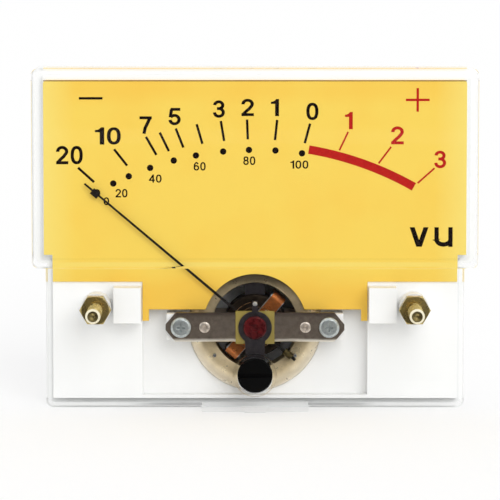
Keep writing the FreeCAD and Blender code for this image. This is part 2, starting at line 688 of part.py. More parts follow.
def least_spring_gap():
    """Smallest clear distance between the turns of a hairspring, measured at its corners."""
    points = spiral_points(0)
    gaps = [math.dist(p, q) for i, p in enumerate(points) for q in points[i + SPRING_STEPS:]]
    return min(gaps) - SPRING_THICK


def rear_spring_arm():
    """Fixed end of the rear spring, on the rear bridge."""
    seat = REAR_BRIDGE_Y + BRIDGE_THICK
    back = seat + LEVER_THICK
    low = PIVOT_Z + SPRING_TAB_LOW
    high = PIVOT_Z + SPRING_TAB_HIGH
    ring = disc(0, PIVOT_Z, LEVER_R + 0.4, seat, back)
    foot = box(-0.6, 0.6, seat, back, PIVOT_Z + 3, high)
    tab = box(-0.6, 0.6, REAR_SPRING_Y - 0.1, back, low, high)
    bore = hexagon(0, PIVOT_Z, REAR_NUT_FLATS + 0.1, seat - 1, back + 1)
    return ring.fuse([foot, tab]).cut([bore, rear_hairspring()]).removeSplitter()


def rear_bridge():
    """Plain bar behind the ring."""
    bar = box(-REAR_BRIDGE_HALF, REAR_BRIDGE_HALF, REAR_BRIDGE_Y, REAR_BRIDGE_Y + BRIDGE_THICK,
              PIVOT_Z - REAR_BRIDGE_HALF_Z, PIVOT_Z + REAR_BRIDGE_HALF_Z)
    corners = [e for e in bar.Edges if e.BoundBox.YLength > BRIDGE_THICK / 2]
    bar = bar.makeChamfer(0.8, corners)
    holes = [disc(0, PIVOT_Z, THREAD_R, REAR_BRIDGE_Y - 1, REAR_BRIDGE_Y + 3)]
    for side in (-1, 1):
        holes.append(small_rod(side * RIVET_X, PIVOT_Z, RIVET_R, REAR_BRIDGE_Y - 1, REAR_BRIDGE_Y + 3))
    return bar.cut(holes)


def panel_studs():
    """Two studs through the base and cover, with round heads behind the flange."""
    tip = WINDOW_Y - STUD_PROUD
    nut_face = SHELF_Y - NUT_THICK
    head = FLANGE_Y + FLANGE_THICK
    end = head + STUD_HEAD_THICK
    profile = [(0, tip), (THREAD_R - 0.4, tip), (THREAD_R, tip + 0.4), (THREAD_R, nut_face),
               (SHANK_R, nut_face), (SHANK_R, head), (STUD_HEAD_R, head), (STUD_HEAD_R, end), (0, end)]
    slot = box(STUD_X - STUD_HEAD_R, STUD_X + STUD_HEAD_R, end - 0.8, end + 1, STUD_Z - 0.4, STUD_Z + 0.4)
    return pair(turned(STUD_X, STUD_Z, profile).cut(slot))


def panel_nuts():
    """Two nuts on the shelf of the cover."""
    return pair(hex_nut(STUD_X, STUD_Z, NUT_FLATS, SHANK_R, SHELF_Y - NUT_THICK, SHELF_Y))


def terminal_tags():
    """Two blades through the board and the back wall, with an eye at the end."""
    front = BOARD_Y - 1.0
    end = BACK_Y + TAG_PROUD
    blade = tag_slot(1, front, end)
    tips = [e for e in blade.Edges if e.BoundBox.YMin > end - 1e-4]
    blade = blade.makeChamfer(0.7, [e for e in tips if e.BoundBox.XLength > TAG_THICK / 2])
    eye = Part.makeCylinder(0.7, 4, Vector(TAG_X - 2, end - 1.9, TAG_Z), Vector(1, 0, 0))
    return pair(blade.cut(eye))


def rectifier_board():
    """Small board on two pegs, with slots for the tags."""
    board = box(-BOARD_HALF, BOARD_HALF, BOARD_Y, BOARD_Y + BOARD_THICK, BOARD_LOW, BOARD_HIGH)
    return board.cut([tag_slot(side, BOARD_Y - 1, BOARD_Y + 2) for side in (-1, 1)])


def axial_part(x, z, radius, length, lead_span):
    """Component lying on the board, its leads bent down to it."""
    y = BOARD_Y - radius
    body = cross_rod(x - length / 2, x + length / 2, y, z, radius)
    half_span = lead_span / 2
    lead = box(x - half_span, x + half_span, y - LEAD_HALF, y + LEAD_HALF, z - LEAD_HALF, z + LEAD_HALF)
    legs = []
    for side in (-1, 1):
        at = x + side * (half_span - LEAD_HALF)
        legs.append(box(at - LEAD_HALF, at + LEAD_HALF, y, BOARD_Y, z - LEAD_HALF, z + LEAD_HALF))
    return body.fuse([lead] + legs).removeSplitter()


def rectifier_diodes():
    """Four diodes in two rows."""
    places = [(x, z) for x in (-5.0, 5.0) for z in (TAG_Z - 2.6, TAG_Z + 3.4)]
    return Part.makeCompound([axial_part(x, z, DIODE_R, DIODE_LONG, 7.0) for x, z in places])


def series_resistor():
    """Resistor between the rows of diodes."""
    return axial_part(0, TAG_Z + 0.4, 1.1, 6.0, 10.0)


BUILDERS = [
    front_cover, zero_adjuster, zero_lever, dial_plate, base_housing, front_bridge, bridge_insulator,
    front_jewel_screw, front_jewel, rear_jewel_screw, rear_jewel, rear_lock_nut, bridge_screws,
    front_rivets, rear_rivets, yoke_ring, core_magnet, core_spacers, coil_winding, coil_former,
    pointer, pointer_boss, rear_boss, front_pivot, rear_pivot, tail_weight, side_weights, pointer_stops,
    front_hairspring, rear_hairspring, rear_spring_arm, rear_bridge, panel_studs, panel_nuts,
    terminal_tags, rectifier_board, rectifier_diodes, series_resistor,
]


def main():
    """Write each piece to its own file."""
    os.makedirs("parts", exist_ok=True)
    for builder in BUILDERS:
        shape = builder()
        shape.exportStep("parts/" + builder.__name__ + ".step")
        print(builder.__name__, shape.isValid(), len(shape.Solids), round(shape.Volume, 2))
    print("least gap between the turns of a hairspring:", round(least_spring_gap(), 3), "mm")


if __name__ == "__main__":
    main()
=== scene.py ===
"""Finish, printing, fine metalwork and studio for the panel level meter.

Metres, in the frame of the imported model: X to the right, Y from the front to the back, Z up.
Sizes below are written in millimetres and turned to metres where a mesh is made.
"""
import logging
import math
from collections.abc import Iterable, Sequence
from dataclasses import dataclass, field
from enum import Enum

import bmesh
import bpy
from mathutils import Matrix, Vector


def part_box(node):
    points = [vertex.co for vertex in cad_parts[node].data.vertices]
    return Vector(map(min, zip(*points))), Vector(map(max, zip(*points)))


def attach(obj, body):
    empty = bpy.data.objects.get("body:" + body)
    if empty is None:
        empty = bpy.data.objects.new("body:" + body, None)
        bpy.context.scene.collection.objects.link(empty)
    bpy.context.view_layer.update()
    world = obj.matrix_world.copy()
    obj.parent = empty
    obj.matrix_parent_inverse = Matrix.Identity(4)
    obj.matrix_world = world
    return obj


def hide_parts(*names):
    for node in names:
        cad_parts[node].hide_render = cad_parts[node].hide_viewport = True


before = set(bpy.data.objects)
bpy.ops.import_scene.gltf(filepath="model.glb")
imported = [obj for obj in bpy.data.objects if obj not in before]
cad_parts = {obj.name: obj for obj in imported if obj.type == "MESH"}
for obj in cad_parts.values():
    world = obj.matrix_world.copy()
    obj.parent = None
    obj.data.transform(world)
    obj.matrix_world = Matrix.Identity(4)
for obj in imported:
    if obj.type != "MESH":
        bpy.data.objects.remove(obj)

log = logging.getLogger("meter")

MM = 0.001
RGB = tuple[float, float, float]
Point2 = tuple[float, float]
Corner = tuple[float, float, float]
Socket = bpy.types.NodeSocket
Mesh = bpy.types.Mesh


def low(node: str) -> Vector:
    """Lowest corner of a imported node, in millimetres."""
    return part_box(node)[0] / MM


def high(node: str) -> Vector:
    """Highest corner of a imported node, in millimetres."""
    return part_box(node)[1] / MM


def middle(node: str) -> Vector:
    """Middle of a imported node's box, in millimetres."""
    return (low(node) + high(node)) / 2


WINDOW_Y = low("front_cover").y
DIAL_Y = low("dial_plate").y
PIVOT = Vector((0.0, 0.0, middle("yoke_ring").z))
REST_ANGLE = 49.8
BROKEN_CORNER = math.radians(40)


class Body(Enum):
    """Bodies that a piece can ride on."""

    HOUSING = "housing"
    COIL = "moving_coil"
    LEVER = "lever"
    ADJUSTER = "adjuster"


def add_node(tree: bpy.types.NodeTree, kind: str, inputs: dict | None = None,
             **settings: object) -> bpy.types.Node:
    """Add a node to a tree.

    Args:
        tree: the tree.
        kind: type of the node.
        inputs: values or sockets for its inputs, by name or number.
        **settings: attributes of the node.

    Returns:
        The new node.
    """
    made = tree.nodes.new(kind)
    for key, value in settings.items():
        setattr(made, key, value)
    for key, value in (inputs or {}).items():
        if isinstance(value, Socket):
            tree.links.new(value, made.inputs[key])
        else:
            made.inputs[key].default_value = value
    return made


# Finishes


class Shader:
    """A material's nodes, with short ways to add and join them."""

    def __init__(self, name: str) -> None:
        """Start an empty material.

        Args:
            name: name of the material.
        """
        self.material = bpy.data.materials.new(name)
        self.material.use_nodes = True
        self.tree = self.material.node_tree
        self.tree.nodes.clear()
        self.output = self.tree.nodes.new("ShaderNodeOutputMaterial")

    def node(self, kind: str, inputs: dict | None = None, **settings: object) -> bpy.types.Node:
        """Add a node of a type, with inputs by name or number and its attributes."""
        return add_node(self.tree, kind, inputs, **settings)

    def place(self, scale: Sequence[float] = (1, 1, 1), offset: Sequence[float] = (0, 0, 0)) -> Socket:
        """Object coordinates, moved by minus an offset in millimetres and then stretched.

        Args:
            scale: factors along the three axes.
            offset: point that becomes the origin, in millimetres.

        Returns:
            The vector socket.
        """
        where = self.node("ShaderNodeTexCoord")
        mapping = self.node("ShaderNodeMapping", {"Vector": where.outputs["Object"], "Scale": scale})
        mapping.inputs["Location"].default_value = [-o * MM * s for o, s in zip(offset, scale)]
        return mapping.outputs["Vector"]

    def noise(self, grain: float, vector: Socket, detail: float = 4, rough: float = 0.55) -> Socket:
        """Noise with a grain of the given size.

        Args:
            grain: size of its spots in millimetres.
            vector: where it is read.
            detail: number of octaves.
            rough: share of each finer octave.

        Returns:
            Its value, from 0 to 1.
        """
        keys = {"Vector": vector, "Scale": 1 / (grain * MM), "Detail": detail, "Roughness": rough}
        return self.node("ShaderNodeTexNoise", keys).outputs["Fac"]

    def spread(self, value: Socket, start: float, end: float, first: float = 0, last: float = 1) -> Socket:
        """Carry one range of a value to another, held at its ends.

        Args:
            value: the value to carry.
            start: start of its range.
            end: end of its range.
            first: result at the start.
            last: result at the end.

        Returns:
            The result.
        """
        keys = {"Value": value, "From Min": start, "From Max": end, "To Min": first, "To Max": last}
        return self.node("ShaderNodeMapRange", keys).outputs["Result"]

    def combined(self, way: str, first: Socket, second: Socket, **settings: object) -> Socket:
        """Two values put together by a Math node's operation."""
        return self.node("ShaderNodeMath", {0: first, 1: second}, operation=way, **settings).outputs[0]

    def mixed(self, share: Socket | float, first: object, second: object) -> Socket:
        """Blend two colours.

        Args:
            share: share of the second colour.
            first: colour or socket.
            second: colour or socket.

        Returns:
            The blend.
        """
        made = self.node("ShaderNodeMix", data_type="RGBA")
        for key, value in ((0, share), (6, first), (7, second)):
            if isinstance(value, Socket):
                self.tree.links.new(value, made.inputs[key])
            elif key == 0:
                made.inputs[key].default_value = value
            else:
                made.inputs[key].default_value = (*value, 1)
        return made.outputs[2]

    def bump(self, height: Socket, depth: float, strength: float = 1.0) -> Socket:
        """Relief of a real depth.

        Args:
            height: height from 0 to 1.
            depth: depth in millimetres for a height of 1.
            strength: how much of it shows.

        Returns:
            The normal socket.
        """
        made = self.node("ShaderNodeBump", {"Height": height, "Distance": depth * MM, "Strength": strength})
        return made.outputs["Normal"]

    def principled(self, inputs: dict) -> bpy.types.Material:
        """Close the material with a Principled surface that has these inputs."""
        return self.close(self.node("ShaderNodeBsdfPrincipled", inputs).outputs["BSDF"])

    def close(self, surface: Socket) -> bpy.types.Material:
        """Join the surface to the output.

        Args:
            surface: the finished shader.

        Returns:
            The material.
        """
        self.tree.links.new(surface, self.output.inputs["Surface"])
        return self.material


@dataclass(frozen=True)
class Finish:
    """What all finishes share: a slot of the record and a material made once."""

    name: str
    slot: str

    def material(self) -> bpy.types.Material:
        """The finish's material, made at first use."""
        return bpy.data.materials.get(self.name) or self.paint(Shader(self.name))

    def paint(self, shader: Shader) -> bpy.types.Material:
        """Fill in the shader's nodes; each kind of finish has its own."""
        raise NotImplementedError


@dataclass(frozen=True)
class Moulded(Finish):
    """Moulded or laminated plastic: even colour with faint clouds and a fine etched grain."""

    colour: RGB
    cloud: RGB
    roughness: float = 0.42
    grain: float = 0.25
    depth: float = 0.006
    specular: float = 0.5

    def paint(self, shader: Shader) -> bpy.types.Material:
        """Clouded colour, etched grain and a slightly uneven gloss."""
        where = shader.place()
        clouds = shader.noise(14, where, 2)
        fine = shader.noise(self.grain, where, 3)
        return shader.principled({
            "Base Color": shader.mixed(shader.spread(clouds, 0.35, 0.65), self.colour, self.cloud),
            "Roughness": shader.spread(fine, 0.3, 0.7, self.roughness - 0.05, self.roughness + 0.05),
            "Specular IOR Level": self.specular,
            "Normal": shader.bump(fine, self.depth),
        })


@dataclass(frozen=True)
class Metal(Finish):
    """Plated or bare metal, brushed along one axis, with dull patches and fine scratches."""

    colour: RGB
    dull: RGB
    roughness: float = 0.3
    brush: tuple[float, float, float] = (1, 1, 1)
    grain: float = 0.12
    depth: float = 0.002
    patch: float = 1.6
    metallic: float = 1.0
    coat: float = 0.0

    def tone(self, shader: Shader, dulled: Socket) -> Socket:
        """Colour of the metal, given how dull each place is."""
        return shader.mixed(dulled, self.colour, self.dull)

    def paint(self, shader: Shader) -> bpy.types.Material:
        """Patchy tone, roughness that follows it, and brushing as relief."""
        patches = shader.noise(self.patch, shader.place(), 5, 0.6)
        lines = shader.noise(self.grain, shader.place(self.brush), 3)
        dulled = shader.spread(patches, 0.38, 0.68)
        return shader.principled({
            "Base Color": self.tone(shader, dulled),
            "Metallic": self.metallic,
            "Roughness": shader.spread(patches, 0.3, 0.75, self.roughness - 0.06, self.roughness + 0.12),
            "Coat Weight": self.coat,
            "Coat Roughness": 0.08,
            "Normal": shader.bump(lines, self.depth),
        })


@dataclass(frozen=True)
class PaintedLightBands(Metal):
    """Metal with painted shade along its upper edge and a painted highlight along its lower one, each from
    its start to where it is full.
    """

    # Painted shade along the upper edge: its colour and the heights over which it comes in.
    shaded_edge: RGB = (0.13, 0.1, 0.08)
    shaded_span: Point2 = (18.5, 19.3)
    # Painted highlight along the lower edge: its colour and the heights over which it comes in.
    painted_highlight_edge: RGB = (0.9, 0.84, 0.74)
    painted_highlight_span: Point2 = (14.4, 13.9)

    def tone(self, shader: Shader, dulled: Socket) -> Socket:
        """The metal's own tone, giving way to the painted shade at the top and the painted highlight at the
        bottom.
        """
        height = shader.node("ShaderNodeSeparateXYZ", {"Vector": shader.place()}).outputs["Z"]
        colour = super().tone(shader, dulled)
        edges = ((self.shaded_edge, self.shaded_span), (self.painted_highlight_edge, self.painted_highlight_span))
        for other, (start, full) in edges:
            colour = shader.mixed(shader.spread(height, start * MM, full * MM), colour, other)
        return colour


@dataclass(frozen=True)
class RingPlatingWithPaintedLight(Metal):
    """Old plating of the ring: olive brown on the flat, with painted shade darkening it upwards and a painted
    highlight towards the lower rim.
    """

    # Painted highlight: the pale colour the rim takes outwards and downwards.
    rim: RGB = (0.82, 0.73, 0.58)
    rim_highlight_radii: Point2 = (10.4, 13.2)
    rim_highlight_heights: Point2 = (3.0, -7.0)
    # Painted shade over the upper part of the ring.
    shade: RGB = (0.11, 0.085, 0.05)
    shade_heights: Point2 = (5.0, 9.0)

    def tone(self, shader: Shader, dulled: Socket) -> Socket:
        """Brown under painted shade that darkens upwards, giving way to the painted highlight of the rim
        outwards and downwards.
        """
        around = shader.place((1, 0, 1), PIVOT)
        radius = shader.node("ShaderNodeVectorMath", {0: around}, operation="LENGTH").outputs["Value"]
        height = shader.node("ShaderNodeSeparateXYZ", {"Vector": around}).outputs["Z"]
        (inner, outer), (start, full), (low_shade, high_shade) = (
            [value * MM for value in span] for span in (self.rim_highlight_radii, self.rim_highlight_heights, self.shade_heights))
        share = shader.combined(
            "MULTIPLY", shader.spread(radius, inner, outer), shader.spread(height, start, full, 0.1))
        shading = shader.spread(height, low_shade, high_shade, 0, 0.9)
        shaded_top = shader.mixed(shading, super().tone(shader, dulled), self.shade)
        return shader.mixed(share, shaded_top, self.rim)


@dataclass(frozen=True)
class Clear(Finish):
    """Polished clear moulding that lets the light through to what is behind it."""

    tint: RGB = (0.998, 0.999, 0.998)
    index: float = 1.22
    roughness: float = 0.015
    flow: float = 22.0

    def paint(self, shader: Shader) -> bpy.types.Material:
        """Refracting body with faint flow waves; a plain clear sheet to shadow, diffuse and glossy rays."""
        where = shader.place()
        waves = shader.noise(self.flow, where, 1)
        dust = shader.noise(0.35, where, 3)
        body = shader.node("ShaderNodeBsdfPrincipled", {
            "Base Color": (*self.tint, 1),
            "Transmission Weight": 1.0,
            "IOR": self.index,
            "Roughness": shader.spread(dust, 0.62, 0.8, self.roughness, self.roughness + 0.06),
            "Normal": shader.bump(waves, 0.02, 0.2),
        })
        through = shader.node("ShaderNodeBsdfTransparent", {"Color": (0.985, 0.987, 0.986, 1)})
        light = shader.node("ShaderNodeLightPath")
        shown = body.outputs["BSDF"]
        for ray in ("Is Shadow Ray", "Is Diffuse Ray", "Is Glossy Ray"):
            shown = shader.node("ShaderNodeMixShader", {
                0: light.outputs[ray], 1: shown, 2: through.outputs["BSDF"],
            }).outputs["Shader"]
        return shader.close(shown)


@dataclass(frozen=True)
class Printed(Finish):
    """Screen-printed face: a warm ground that deepens to amber in soft patches, under painted shade in amber
    towards the foot and the top, and a pale painted glare band behind the shelf.
    """

    ground: RGB = (0.86, 0.6, 0.085)
    # Amber of the patches and of the painted shade.
    amber: RGB = (0.86, 0.53, 0.06)
    # Pale tone of both ends and of the painted glare band.
    pale: RGB = (0.86, 0.68, 0.16)
    roughness: float = 0.5
    # Painted shade: heights over which the amber comes in at the foot and at the top.
    foot_shade_heights: Point2 = (29.0, 24.0)
    top_shade_heights: Point2 = (60.5, 63.5)
    pale_ends: Point2 = (36.0, 42.5)
    # Painted glare: the pale band behind the shelf and how softly it fades in.
    shelf_glare_band: Point2 = (27.9, 29.7)
    glare_band_fade: float = 0.3

    def paint(self, shader: Shader) -> bpy.types.Material:
        """Painted shade in amber towards the foot and the top, amber patches, paler at both ends, a pale
        painted glare band behind the shelf, and print grain.
        """
        where = shader.place()
        split = shader.node("ShaderNodeSeparateXYZ", {"Vector": where})
        soft = shader.noise(16, where, 2)
        height = split.outputs["Z"]
        foot_start, foot_full, top_start, top_full, pale_start, pale_full, band_low, band_high = (
            value * MM for value in self.foot_shade_heights + self.top_shade_heights + self.pale_ends + self.shelf_glare_band)
        fade = self.glare_band_fade * MM
        # Painted shade in amber at the foot and at the top.
        foot = shader.spread(height, foot_start, foot_full)
        top = shader.spread(height, top_start, top_full, 0, 0.6)
        deep = shader.combined("ADD", foot, top)
        shade_and_patches = shader.combined("ADD", deep, shader.spread(soft, 0.35, 0.75, -0.25, 0.5), use_clamp=True)
        side = shader.node("ShaderNodeMath", {0: split.outputs["X"]}, operation="ABSOLUTE").outputs[0]
        ends = shader.spread(side, pale_start, pale_full, 0, 0.85)
        # Painted glare: pale band behind the shelf.
        band = shader.combined("MULTIPLY", shader.spread(height, band_low, band_low + fade, 0, 0.6),
                               shader.spread(height, band_high, band_high - fade))
        pale = shader.combined("MAXIMUM", ends, band)
        warm = shader.mixed(shade_and_patches, self.ground, self.amber)
        fine = shader.noise(0.18, where, 2)
        return shader.principled({
            "Base Color": shader.mixed(pale, warm, self.pale),
            "Roughness": shader.spread(fine, 0.3, 0.7, self.roughness - 0.06, self.roughness + 0.06),
            "Specular IOR Level": 0.35,
            "Normal": shader.bump(fine, 0.002),
        })


@dataclass(frozen=True)
class Ink(Finish):
    """Printing ink, matt, with a thin uneven film."""

    colour: RGB
    thin: RGB
    roughness: float = 0.6

    def paint(self, shader: Shader) -> bpy.types.Material:
        """Ink film whose tone and gloss wander a little."""
        film = shader.noise(0.5, shader.place(), 3)
        return shader.principled({
            "Base Color": shader.mixed(shader.spread(film, 0.4, 0.8), self.colour, self.thin),
            "Roughness": shader.spread(film, 0.3, 0.7, self.roughness - 0.08, self.roughness + 0.08),
            "Specular IOR Level": 0.12,
            "Normal": shader.bump(film, 0.002),
        })


@dataclass(frozen=True)
class Lacquer(Finish):
    """Locking lacquer, thick and glossy, pooled in the recess of the screw."""

    deep: RGB = (0.04, 0.001, 0.002)
    bright: RGB = (0.11, 0.002, 0.003)

    def paint(self, shader: Shader) -> bpy.types.Material:
        """Deep colour with brighter runs under a clear gloss."""
        where = shader.place()
        runs = shader.noise(0.9, where, 3)
        return shader.principled({
            "Base Color": shader.mixed(shader.spread(runs, 0.4, 0.65), self.deep, self.bright),
            "Roughness": shader.spread(runs, 0.3, 0.7, 0.22, 0.4),
            "Specular IOR Level": 0.2,
            "Coat Weight": 0.1,
            "Coat Roughness": 0.1,
            "Normal": shader.bump(runs, 0.03),
        })


CLEAR = Clear("clear_cover", "clear_plastic")
WHITE = Moulded("white_moulding", "white_plastic", (0.93, 0.93, 0.925), (0.9, 0.9, 0.895))
BLACK = Moulded("black_moulding", "black_plastic", (0.0015, 0.0015, 0.0015), (0.0025, 0.0025, 0.0025),
                roughness=0.4, grain=0.15, depth=0.003, specular=0.05)
OLIVE = Moulded("olive_sheet", "olive_insulation", (0.27, 0.2, 0.03), (0.2, 0.145, 0.025),
                roughness=0.5, grain=0.3, depth=0.01)
BOARD = Moulded("brown_laminate", "fibre_board", (0.36, 0.22, 0.1), (0.28, 0.16, 0.07), grain=0.4, depth=0.01)
DIODE = Moulded("diode_glass", "diode_body", (0.02, 0.015, 0.013), (0.03, 0.02, 0.016), roughness=0.3)
RESISTOR = Moulded("resistor_coating", "resistor_body", (0.56, 0.41, 0.24), (0.5, 0.36, 0.2), roughness=0.3)
DIAL = Printed("dial_print_ground", "dial_paint")
# Brown ink for a painted shadow line along the dial's top edge.
SHADOW_LINE_INK = Ink("painted_shadow_line", "black_paint", (0.2, 0.11, 0.045), (0.26, 0.15, 0.07))
BLACK_INK = Ink("black_ink", "black_paint", (0.006, 0.002, 0.001), (0.014, 0.006, 0.003))
RED_INK = Ink("red_ink", "red_lacquer", (0.42, 0.008, 0.006), (0.5, 0.014, 0.008))
POINTER_PAINT = Ink("pointer_paint", "black_paint", (0.01, 0.008, 0.007), (0.025, 0.02, 0.016), 0.45)
ZINC = Metal("zinc_bar", "zinc", (0.42, 0.36, 0.31), (0.28, 0.23, 0.19), roughness=0.4,
             brush=(0.08, 1, 1), depth=0.004)
# Zinc of the front bar: a darker copy of the rear bar's zinc as painted shade, with painted shade above and a
# painted highlight below.
FRONT_ZINC = PaintedLightBands("front_zinc_bar", "zinc", (0.26, 0.215, 0.175), (0.16, 0.125, 0.1), roughness=0.4,
                    brush=(0.08, 1, 1), depth=0.004)
BRIGHT_ZINC = Metal("zinc_screws", "zinc", (0.64, 0.68, 0.66), (0.42, 0.46, 0.48), roughness=0.36, patch=0.5)
DARK_STEEL = Metal("blackened_steel", "dark_steel", (0.09, 0.08, 0.085), (0.05, 0.045, 0.05), roughness=0.35,
                   depth=0.004)
STEEL = Metal("polished_steel", "steel", (0.6, 0.61, 0.62), (0.45, 0.46, 0.47), roughness=0.15)
# Ring plating, with painted shade towards the top and a painted highlight at the lower rim.
PLATED = RingPlatingWithPaintedLight("olive_plating", "plated_iron", (0.82, 0.67, 0.42), (0.56, 0.44, 0.25), patch=2.5,
                     metallic=0.7)
MAGNET = Metal("magnet_alloy", "magnet", (0.034, 0.025, 0.018), (0.02, 0.014, 0.01), 0.5, depth=0.01)
OLD_BRASS = Metal("dulled_brass", "brass", (0.11, 0.085, 0.035), (0.06, 0.045, 0.02), 0.45, patch=0.8)
BRASS = Metal("olive_brass", "brass", (0.6, 0.48, 0.2), (0.38, 0.29, 0.11), roughness=0.27, patch=1.2)
# Pale brass as a painted highlight on the studs' end chamfers.
HIGHLIGHT_BRASS = Metal("brass_painted_highlight", "brass", (0.98, 0.92, 0.72), (0.9, 0.82, 0.58), roughness=0.25)
RIVET_BRASS = Metal("rivet_heads", "brass", (0.9, 0.8, 0.7), (0.5, 0.42, 0.35), roughness=0.35, patch=0.6)
TINNED = Metal("tinned_tags", "tinned_brass", (0.68, 0.66, 0.6), (0.5, 0.47, 0.4), roughness=0.28)
BRONZE = Metal("spring_bronze", "bronze", (0.6, 0.36, 0.18), (0.42, 0.25, 0.12), roughness=0.25)
COPPER = Metal("enamelled_copper", "copper_wire", (0.7, 0.24, 0.06), (0.4, 0.13, 0.035), coat=0.5)
ALUMINIUM = Metal("thin_aluminium", "aluminium", (0.68, 0.69, 0.7), (0.5, 0.5, 0.5), roughness=0.35)
SOLDER = Metal("solder", "tinned_brass", (0.6, 0.6, 0.6), (0.45, 0.45, 0.45), roughness=0.3)
LACQUER = Lacquer("locking_lacquer", "red_lacquer")
RUBY = Moulded("ruby_stone", "ruby", (0.45, 0.02, 0.05), (0.35, 0.015, 0.04), 0.08, grain=0.3, depth=0.0)


# Meshes and pieces


def placed(name: str, data: bpy.types.ID) -> bpy.types.Object:
    """A new object in the scene that shows the given data.

    Args:
        name: name of the object.
        data: mesh, camera or light it shows.

    Returns:
        The new object.
    """
    made = bpy.data.objects.new(name, data)
    bpy.context.scene.collection.objects.link(made)
    return made


def as_mesh(shape: bmesh.types.BMesh, name: str) -> Mesh:
    """Turn a working shape into a mesh of the given name.

    Args:
        shape: the working shape, freed here.
        name: name of the mesh.

    Returns:
        The new mesh.
    """
    mesh = bpy.data.meshes.new(name)
    shape.to_mesh(mesh)
    shape.free()
    return mesh


def evaluated(mesh: Mesh, modifiers: Iterable[tuple[str, dict]]) -> Mesh:
    """A mesh with modifiers applied.

    Args:
        mesh: the mesh to start from.
        modifiers: pairs of a modifier's type and its settings.

    Returns:
        A plain new mesh.
    """
    host = placed("host", mesh)
    for kind, settings in modifiers:
        made = host.modifiers.new(kind.lower(), kind)
        for key, value in settings.items():
            setattr(made, key, value)
    graph = bpy.context.evaluated_depsgraph_get()
    result = bpy.data.meshes.new_from_object(host.evaluated_get(graph))
    bpy.data.objects.remove(host)
    return result


def shaded(mesh: Mesh, angle: float = 35) -> Mesh:
    """The mesh, smooth except across corners sharper than an angle in degrees.

    Args:
        mesh: mesh to shade.
        angle: smallest angle that stays a corner.

    Returns:
        The same mesh.
    """
    mesh.shade_smooth()
    mesh.set_sharp_from_angle(angle=math.radians(angle))
    return mesh


def broken_edges(node: str, width: float, slack: float = 0.0) -> Mesh:
    """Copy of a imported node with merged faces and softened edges.

    Args:
        node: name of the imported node.
        width: width of the softened edge in millimetres, or 0 for none.
        slack: how far its faces stand back from what they touch, in millimetres.

    Returns:
        The new mesh.
    """
    shape = bmesh.new()
    shape.from_mesh(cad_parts[node].data)
    bmesh.ops.remove_doubles(shape, verts=shape.verts, dist=0.0005 * MM)
    bmesh.ops.dissolve_limit(shape, angle_limit=math.radians(0.5), verts=shape.verts, edges=shape.edges)
    shape.normal_update()
    for vert in shape.verts:
        vert.co -= vert.normal * vert.calc_shell_factor() * slack * MM
    mesh = as_mesh(shape, node)
    mesh.materials.clear()
    shaded(mesh)
    if not width:
        return mesh
    bevel = {"width": width * MM, "segments": 2, "limit_method": "ANGLE", "angle_limit": BROKEN_CORNER,
             "use_clamp_overlap": True, "miter_outer": "MITER_ARC"}
    return evaluated(mesh, [("BEVEL", bevel), ("WEIGHTED_NORMAL", {"weight": 100, "keep_sharp": True})])


def turned(profile: Sequence[Point2], steps: int = 64, name: str = "turned") -> Mesh:
    """Solid of revolution about the depth axis.

    Args:
        profile: points of radius and depth in millimetres, from axis to axis or closed.
        steps: faces round the axis.
        name: name of the mesh.

    Returns:
        The mesh, about the origin.
    """
    shape = bmesh.new()
    rings = []
    for radius, depth in profile:
        count = 1 if radius < 1e-6 else steps
        turns = [2 * math.pi * k / count for k in range(count)]
        places = [(radius * math.cos(a) * MM, depth * MM, radius * math.sin(a) * MM) for a in turns]
        rings.append([shape.verts.new(place) for place in places])
    closed = profile[0][0] > 1e-6
    pairs = list(zip(rings, rings[1:] + rings[:1])) if closed else list(zip(rings, rings[1:]))
    for first, second in pairs:
        for k in range(steps):
            corners = [first[k % len(first)], first[(k + 1) % len(first)],
                       second[(k + 1) % len(second)], second[k % len(second)]]
            unique = list(dict.fromkeys(corners))
            if len(unique) > 2:
                shape.faces.new(unique)
    bmesh.ops.recalc_face_normals(shape, faces=shape.faces)
    return shaded(as_mesh(shape, name))


def joined(meshes: Iterable[Mesh], name: str) -> Mesh:
    """Several meshes as one.

    Args:
        meshes: the meshes to join.
        name: name of the result.

    Returns:
        The joined mesh.
    """
    shape = bmesh.new()
    for mesh in meshes:
        shape.from_mesh(mesh)
    return as_mesh(shape, name)


def moved(mesh: Mesh, x: float = 0, y: float = 0, z: float = 0, turn: float = 0) -> Mesh:
    """The mesh, turned about the depth axis in degrees and then moved by millimetres."""
    mesh.transform(Matrix.Translation(Vector((x, y, z)) * MM) @ Matrix.Rotation(math.radians(turn), 4, "Y"))
    return mesh


def piece(name: str, mesh: Mesh, finish: Finish, body: Body, *nodes: str) -> None:
    """Make a mesh a piece of the meter.

    Args:
        name: name of the piece.
        mesh: its mesh, in place.
        finish: its finish.
        body: the body that carries it.
        *nodes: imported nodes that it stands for.
    """
    mesh.name = name
    mesh.materials.clear()
    mesh.materials.append(finish.material())
    made = placed(name, mesh)
    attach(made, body.value)
    if nodes:
        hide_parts(*nodes)
    log.info("%s rides %s, %d faces", name, body.value, len(mesh.polygons))


def softened(node: str, finish: Finish, width: float, body: Body = Body.HOUSING, slack: float = 0.0) -> None:
    """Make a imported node, with broken edges and its finish, a piece.

    Args:
        node: name of the node.
        finish: its finish.
        width: width of the broken edges in millimetres.
        body: the body that carries it.
        slack: how far its faces stand back from what they touch, in millimetres.
    """
    piece(node + "_finished", broken_edges(node, width, slack), finish, body, node)


# Geometry Nodes


